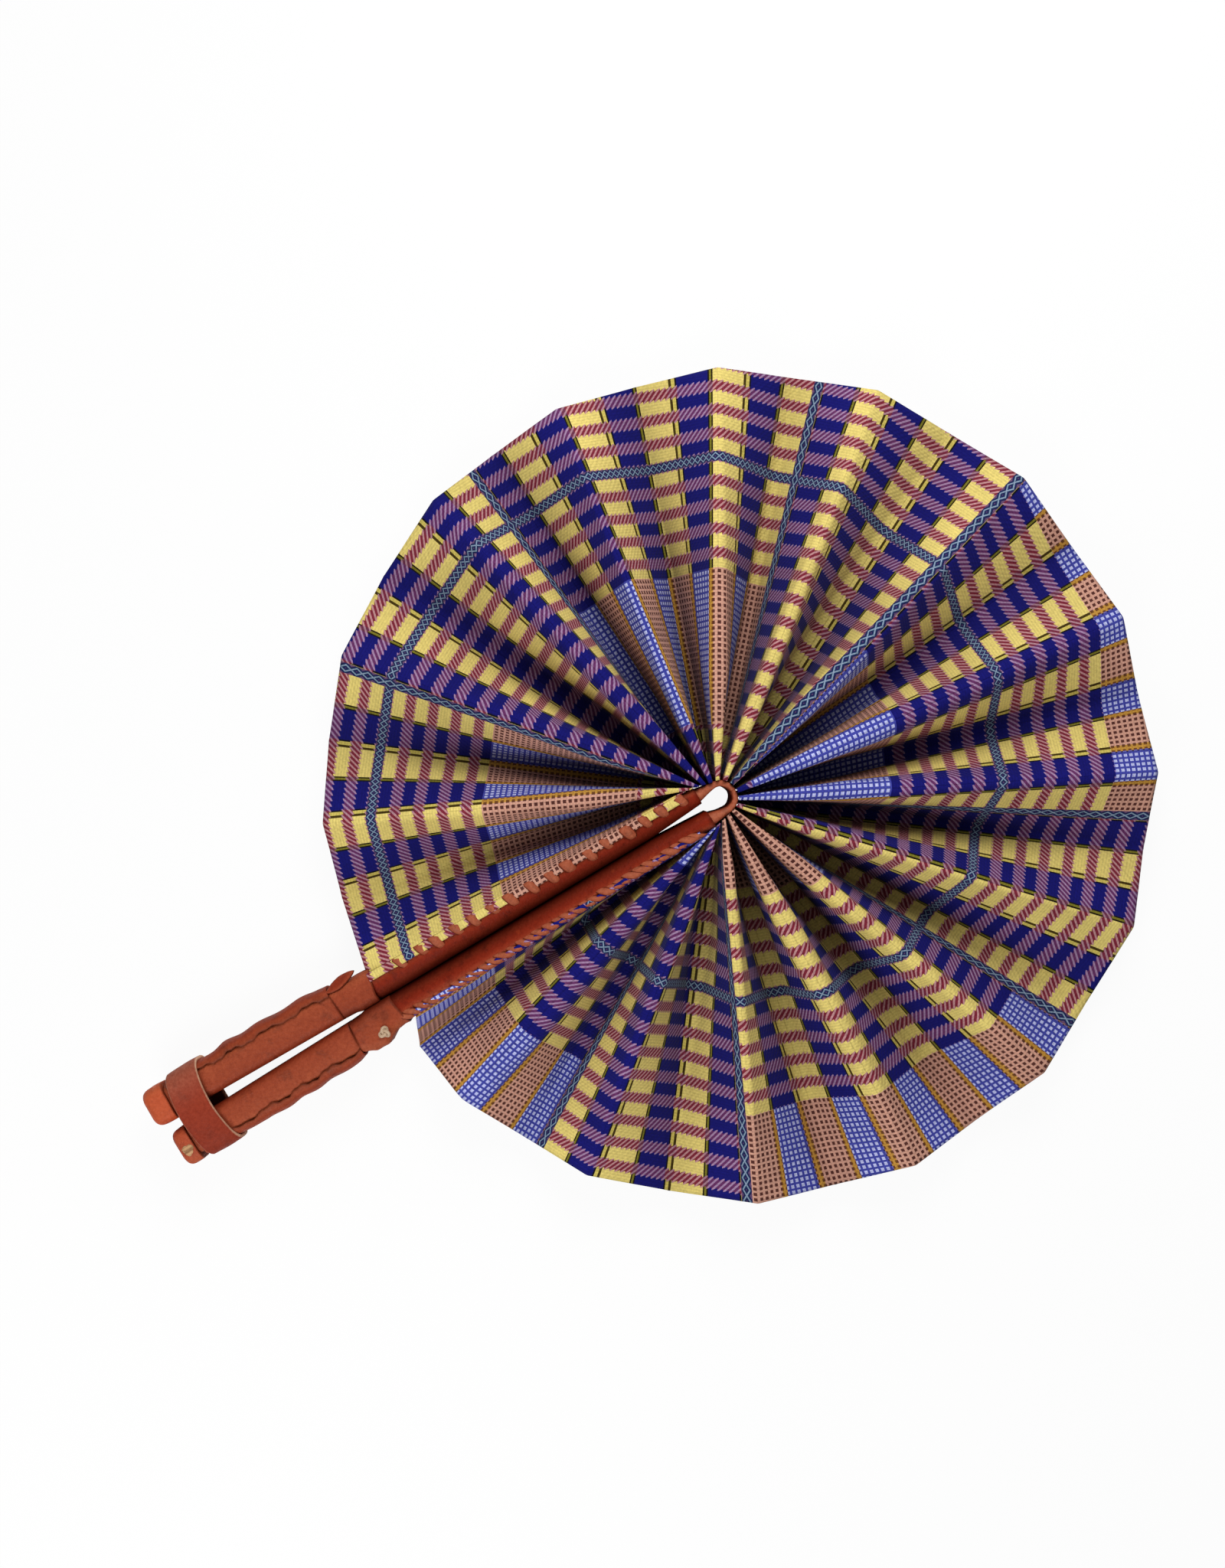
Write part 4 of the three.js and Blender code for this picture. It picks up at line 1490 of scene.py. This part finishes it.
@dataclass(frozen=True)
class SlidingRing:
    """The leather ring that holds the two sticks together."""

    start: float = 198.3  # of its edge nearest the leaf, at the ring's sides
    length: float = 11.6
    half_width: float = 14.35  # inside
    half_depth: float = 6.4  # inside
    corner: float = 3.6  # its inner corners' radius
    wall: float = 1.25
    sag_front: float = 2.6
    sag_back: float = 0.6
    steps: int = 120  # points round it

    def build(self, palette: Palette) -> list[Piece]:
        """The ring: a rounded rectangle swept round both sticks.

        Its front sags towards the tips by sag_front (1 - (x / half_width)^2), and its back by
        sag_back, because the band was put on aslant. The section is a closed one: outer face, two cut
        edges and inner face.

        Args:
            palette: The finishes.

        Returns:
            The ring, in a list.
        """
        one = np.ones(1)
        x, z = rounded_ring(
            -self.half_width * one, self.half_width * one, self.half_depth * one,
            self.corner * one, self.corner * one, 10,
        )
        corners = np.stack([np.append(x[0], x[0, 0]), np.append(z[0], z[0, 0])], axis=1)
        way = way_along(corners)
        even = np.linspace(0, way[-1], self.steps + 1)[:-1]
        x, z = np.interp(even, way, corners[:, 0]), np.interp(even, way, corners[:, 1])
        nx, nz = np.roll(z, -1) - np.roll(z, 1), np.roll(x, 1) - np.roll(x, -1)
        nx, nz = nx / np.hypot(nx, nz), nz / np.hypot(nx, nz)
        front = 0.5 + 0.5 * np.clip(z / self.half_depth, -1, 1)
        bow = self.sag_front * front + self.sag_back * (1 - front)
        bow = bow * (1 - (x / (self.half_width + 1)) ** 2)
        # the section: shares of the length, and of the wall, from one edge over the outer face
        s_share = np.array(
            [0.0, 0.0, 0.035, *np.linspace(0.12, 0.88, 9), 0.965, 1.0, 1.0, *np.linspace(0.9, 0.1, 5)]
        )
        t_share = np.array([0.15, 0.8, 1.0, *np.ones(9), 1.0, 0.8, 0.15, *np.zeros(5)])
        uneven = 0.18 * ripple(x[:, None], s_share * 11 + z[:, None], 9, 81)
        offset = (self.wall + 0.22 * np.sin(math.pi * s_share) + uneven) * t_share
        points = np.stack(
            [
                x[:, None] + nx[:, None] * offset,
                -(self.start + self.length * s_share + bow[:, None]),
                z[:, None] + nz[:, None] * offset,
            ],
            axis=-1,
        )
        cut = ((t_share > 0.1) & (t_share < 0.9)) * np.where(s_share < 0.5, 1.7, 0.5)
        # lighter towards the left end: painted light, laid on with the rubbed colour
        pale = np.clip(-x / self.half_width, 0, 1)[:, None] ** 2
        rub_and_highlight = 0.06 + cut + 0.3 * pale + 0 * offset
        # painted shade: darker towards the right end of the outer face, and on the whole inner face
        dim = np.clip(x / self.half_width + 0.2, 0, 1)[:, None] * 0.14
        shade = np.where(t_share == 0, 0.75, 0.0) + dim * (t_share > 0.5)
        piece = skin("keeper_ring", points, wrap=True, marks={"wear_and_highlight": rub_and_highlight, "crease": shade}, ring=True)
        dress(piece, palette.ring)
        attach(piece, "keeper")
        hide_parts("keeper_loop")
        return [piece]


@dataclass(frozen=True)
class ThreadKnot:
    """The knot that ends the lacing's thread on the right collar."""

    s: float = 138.9
    w: float = 3.9
    z: float = 7.65
    size: float = 1.5  # about half its width
    radius: float = 0.55  # the thread's

    def build(self, palette: Palette) -> list[Piece]:
        """A trefoil tube: (sin t + 2 sin 2t, cos t - 2 cos 2t, -sin 3t), scaled and laid flat.

        Args:
            palette: The finishes.

        Returns:
            The knot, in a list.
        """
        t = np.linspace(0, 2 * math.pi, 73)
        x, y = np.sin(t) + 2 * np.sin(2 * t), np.cos(t) - 2 * np.cos(2 * t)
        line = self.size / 2.6 * np.stack([x, y, -np.sin(3 * t)], axis=1)
        tangent = np.gradient(line, axis=0)
        tangent[[0, -1]] = line[1] - line[-2]
        tangent /= np.linalg.norm(tangent, axis=1)[:, None]
        side = np.cross(tangent, [0.0, 0.0, 1.0])
        side /= np.linalg.norm(side, axis=1)[:, None]
        up = np.cross(side, tangent)
        turn = np.linspace(0, 2 * math.pi, 9)[:-1]
        tube = line[:, None] + self.radius * (
            side[:, None] * np.cos(turn)[None, :, None] + up[:, None] * np.sin(turn)[None, :, None]
        )
        centre = LINE.at(Side.RIGHT, self.w, self.s, self.z)
        piece = skin("thread_knot", tube + centre, wrap=True)
        return [mount(piece, Side.RIGHT, palette.thread, "collar_knot")]


# Studio


@dataclass(frozen=True)
class Lamp:
    """A square area lamp, in degrees, watts and metres, that faces the middle of the row frame."""

    name: str
    azimuth: float
    elevation: float
    watts: float
    size: float = 0.34
    distance: float = 0.6

    def build(self) -> None:
        """Hangs the lamp: azimuth is counted from +X and elevation from the floor."""
        data = bpy.data.lights.new(self.name, "AREA")
        data.energy, data.size = self.watts, self.size
        lamp = bpy.data.objects.new(self.name, data)
        a, e = math.radians(self.azimuth), math.radians(self.elevation)
        lamp.location = (
            self.distance * math.cos(e) * math.cos(a),
            self.distance * math.cos(e) * math.sin(a),
            self.distance * math.sin(e),
        )
        lamp.rotation_euler = (math.pi / 2 - e, 0.0, a + math.pi / 2)
        bpy.context.scene.collection.objects.link(lamp)


@dataclass(frozen=True)
class Studio:
    """Pale floor, soft light and the camera, straight above the leaf as in the photograph; in metres."""

    distance: float = 0.58  # camera to the leaf's middle plane
    frame_height: float = 0.532  # what the frame's long side takes in at that plane
    sensor: float = 36.0  # mm
    roll: float = 59.04  # degrees from the row's +X to the picture's right
    aim: tuple[float, float] = (-0.0224, 0.0075)
    lamps: tuple[Lamp, ...] = (Lamp("upper", 140.0, 44.0, 2.5), Lamp("lower", 304.0, 44.0, 1.86))
    ambient: float = 0.2  # the world's strength, which is 1 to the camera
    glow: float = 0.93  # the part of the floor that the camera sees as plain white
    floor_half: float = 3.0

    def camera(self) -> None:
        """Sets the camera above the picture's middle, looking straight down."""
        data = bpy.data.cameras.new("camera")
        data.sensor_width = self.sensor
        data.lens = self.sensor * self.distance / self.frame_height
        camera = bpy.data.objects.new("camera", data)
        camera.location = (*self.aim, HUB[2] * MM + self.distance)
        camera.rotation_euler = (0.0, 0.0, math.radians(self.roll))
        bpy.context.scene.collection.objects.link(camera)
        bpy.context.scene.camera = camera

    def floor(self) -> None:
        """A white paper floor: it takes the fan's shadow, and looks white to the camera."""
        material, tree, shader = blank("pressed_white_paper", 0.9, IOR=1.4, Specular_IOR_Level=0.1)
        shader.inputs["Base Color"].default_value = linear("#F4F4F4")
        glow = add(tree, "Emission", {"Color": (1.0, 1.0, 1.0, 1.0), "Strength": 1.0})
        seen = add(tree, "LightPath", out="Is Camera Ray")
        share = add(tree, "Math", {0: seen, 1: self.glow}, operation="MULTIPLY")
        mix = add(tree, "MixShader", {0: share, 1: shader.outputs["BSDF"], 2: glow})
        tree.links.new(mix, tree.nodes["Material Output"].inputs["Surface"])
        mesh = bpy.data.meshes.new("floor")
        r = self.floor_half
        mesh.from_pydata([(-r, -r, 0), (r, -r, 0), (r, r, 0), (-r, r, 0)], [], [(0, 1, 2, 3)])
        mesh.materials.append(material)
        floor = bpy.data.objects.new("floor", mesh)
        bpy.context.scene.collection.objects.link(floor)

    def world(self) -> None:
        """A world that is even and dim, but white to the camera."""
        world = bpy.data.worlds.new("studio")
        bpy.context.scene.world = world
        world.use_nodes = True
        tree = world.node_tree
        seen = add(tree, "LightPath", out="Is Camera Ray")
        strength = add(
            tree, "Math", {0: seen, 1: 1 - self.ambient, 2: self.ambient}, operation="MULTIPLY_ADD"
        )
        ground = tree.nodes["Background"]
        ground.inputs["Color"].default_value = (1.0, 1.0, 1.0, 1.0)
        tree.links.new(strength, ground.inputs["Strength"])

    def build(self) -> None:
        """Sets up the whole studio."""
        self.camera()
        self.floor()
        for lamp in self.lamps:
            lamp.build()
        self.world()
        bpy.context.scene.view_settings.view_transform = "Standard"


def report(title: str, pieces: list[Piece]) -> None:
    """Logs each piece with its number of vertices."""
    for piece in pieces:
        LOG.info("%s: %s, %d points", title, piece.name, len(piece.data.vertices))


def main() -> None:
    logging.basicConfig(level=logging.INFO, format="%(message)s")
    Studio().build()
    palette = Palette.mix()
    left = Stick(
        Side.LEFT, Lacing(pitch=7.2, half_width=2.0, slant=-2.6), Lap(phase=0.4), CollarFold(),
        tip_end=222.0, tip_out=7.5, tip_in=6.0, collar=(134.8, 148.0), collar_out=(0.3, 0.6, 0.7, 0.6, 0.3),
    )
    right = Stick(
        Side.RIGHT, Lacing(pitch=3.6, half_width=1.9, slant=6.5, cover=0.72), Lap(phase=2.9), WornSpot(),
        tip_end=219.8, tip_out=7.9, tip_in=5.3, collar=(131.5, 148.0), collar_out=(0.1, 0.2, 2.9, 2.4, 0.6),
    )
    report("hub", HubLoop().build(palette))
    report("left stick", left.build(palette))
    report("right stick", right.build(palette))
    report("leaf", Leaf().build(palette))
    report("ring", SlidingRing().build(palette))
    report("knot", ThreadKnot().build(palette))


if __name__ == "__main__":
    main()
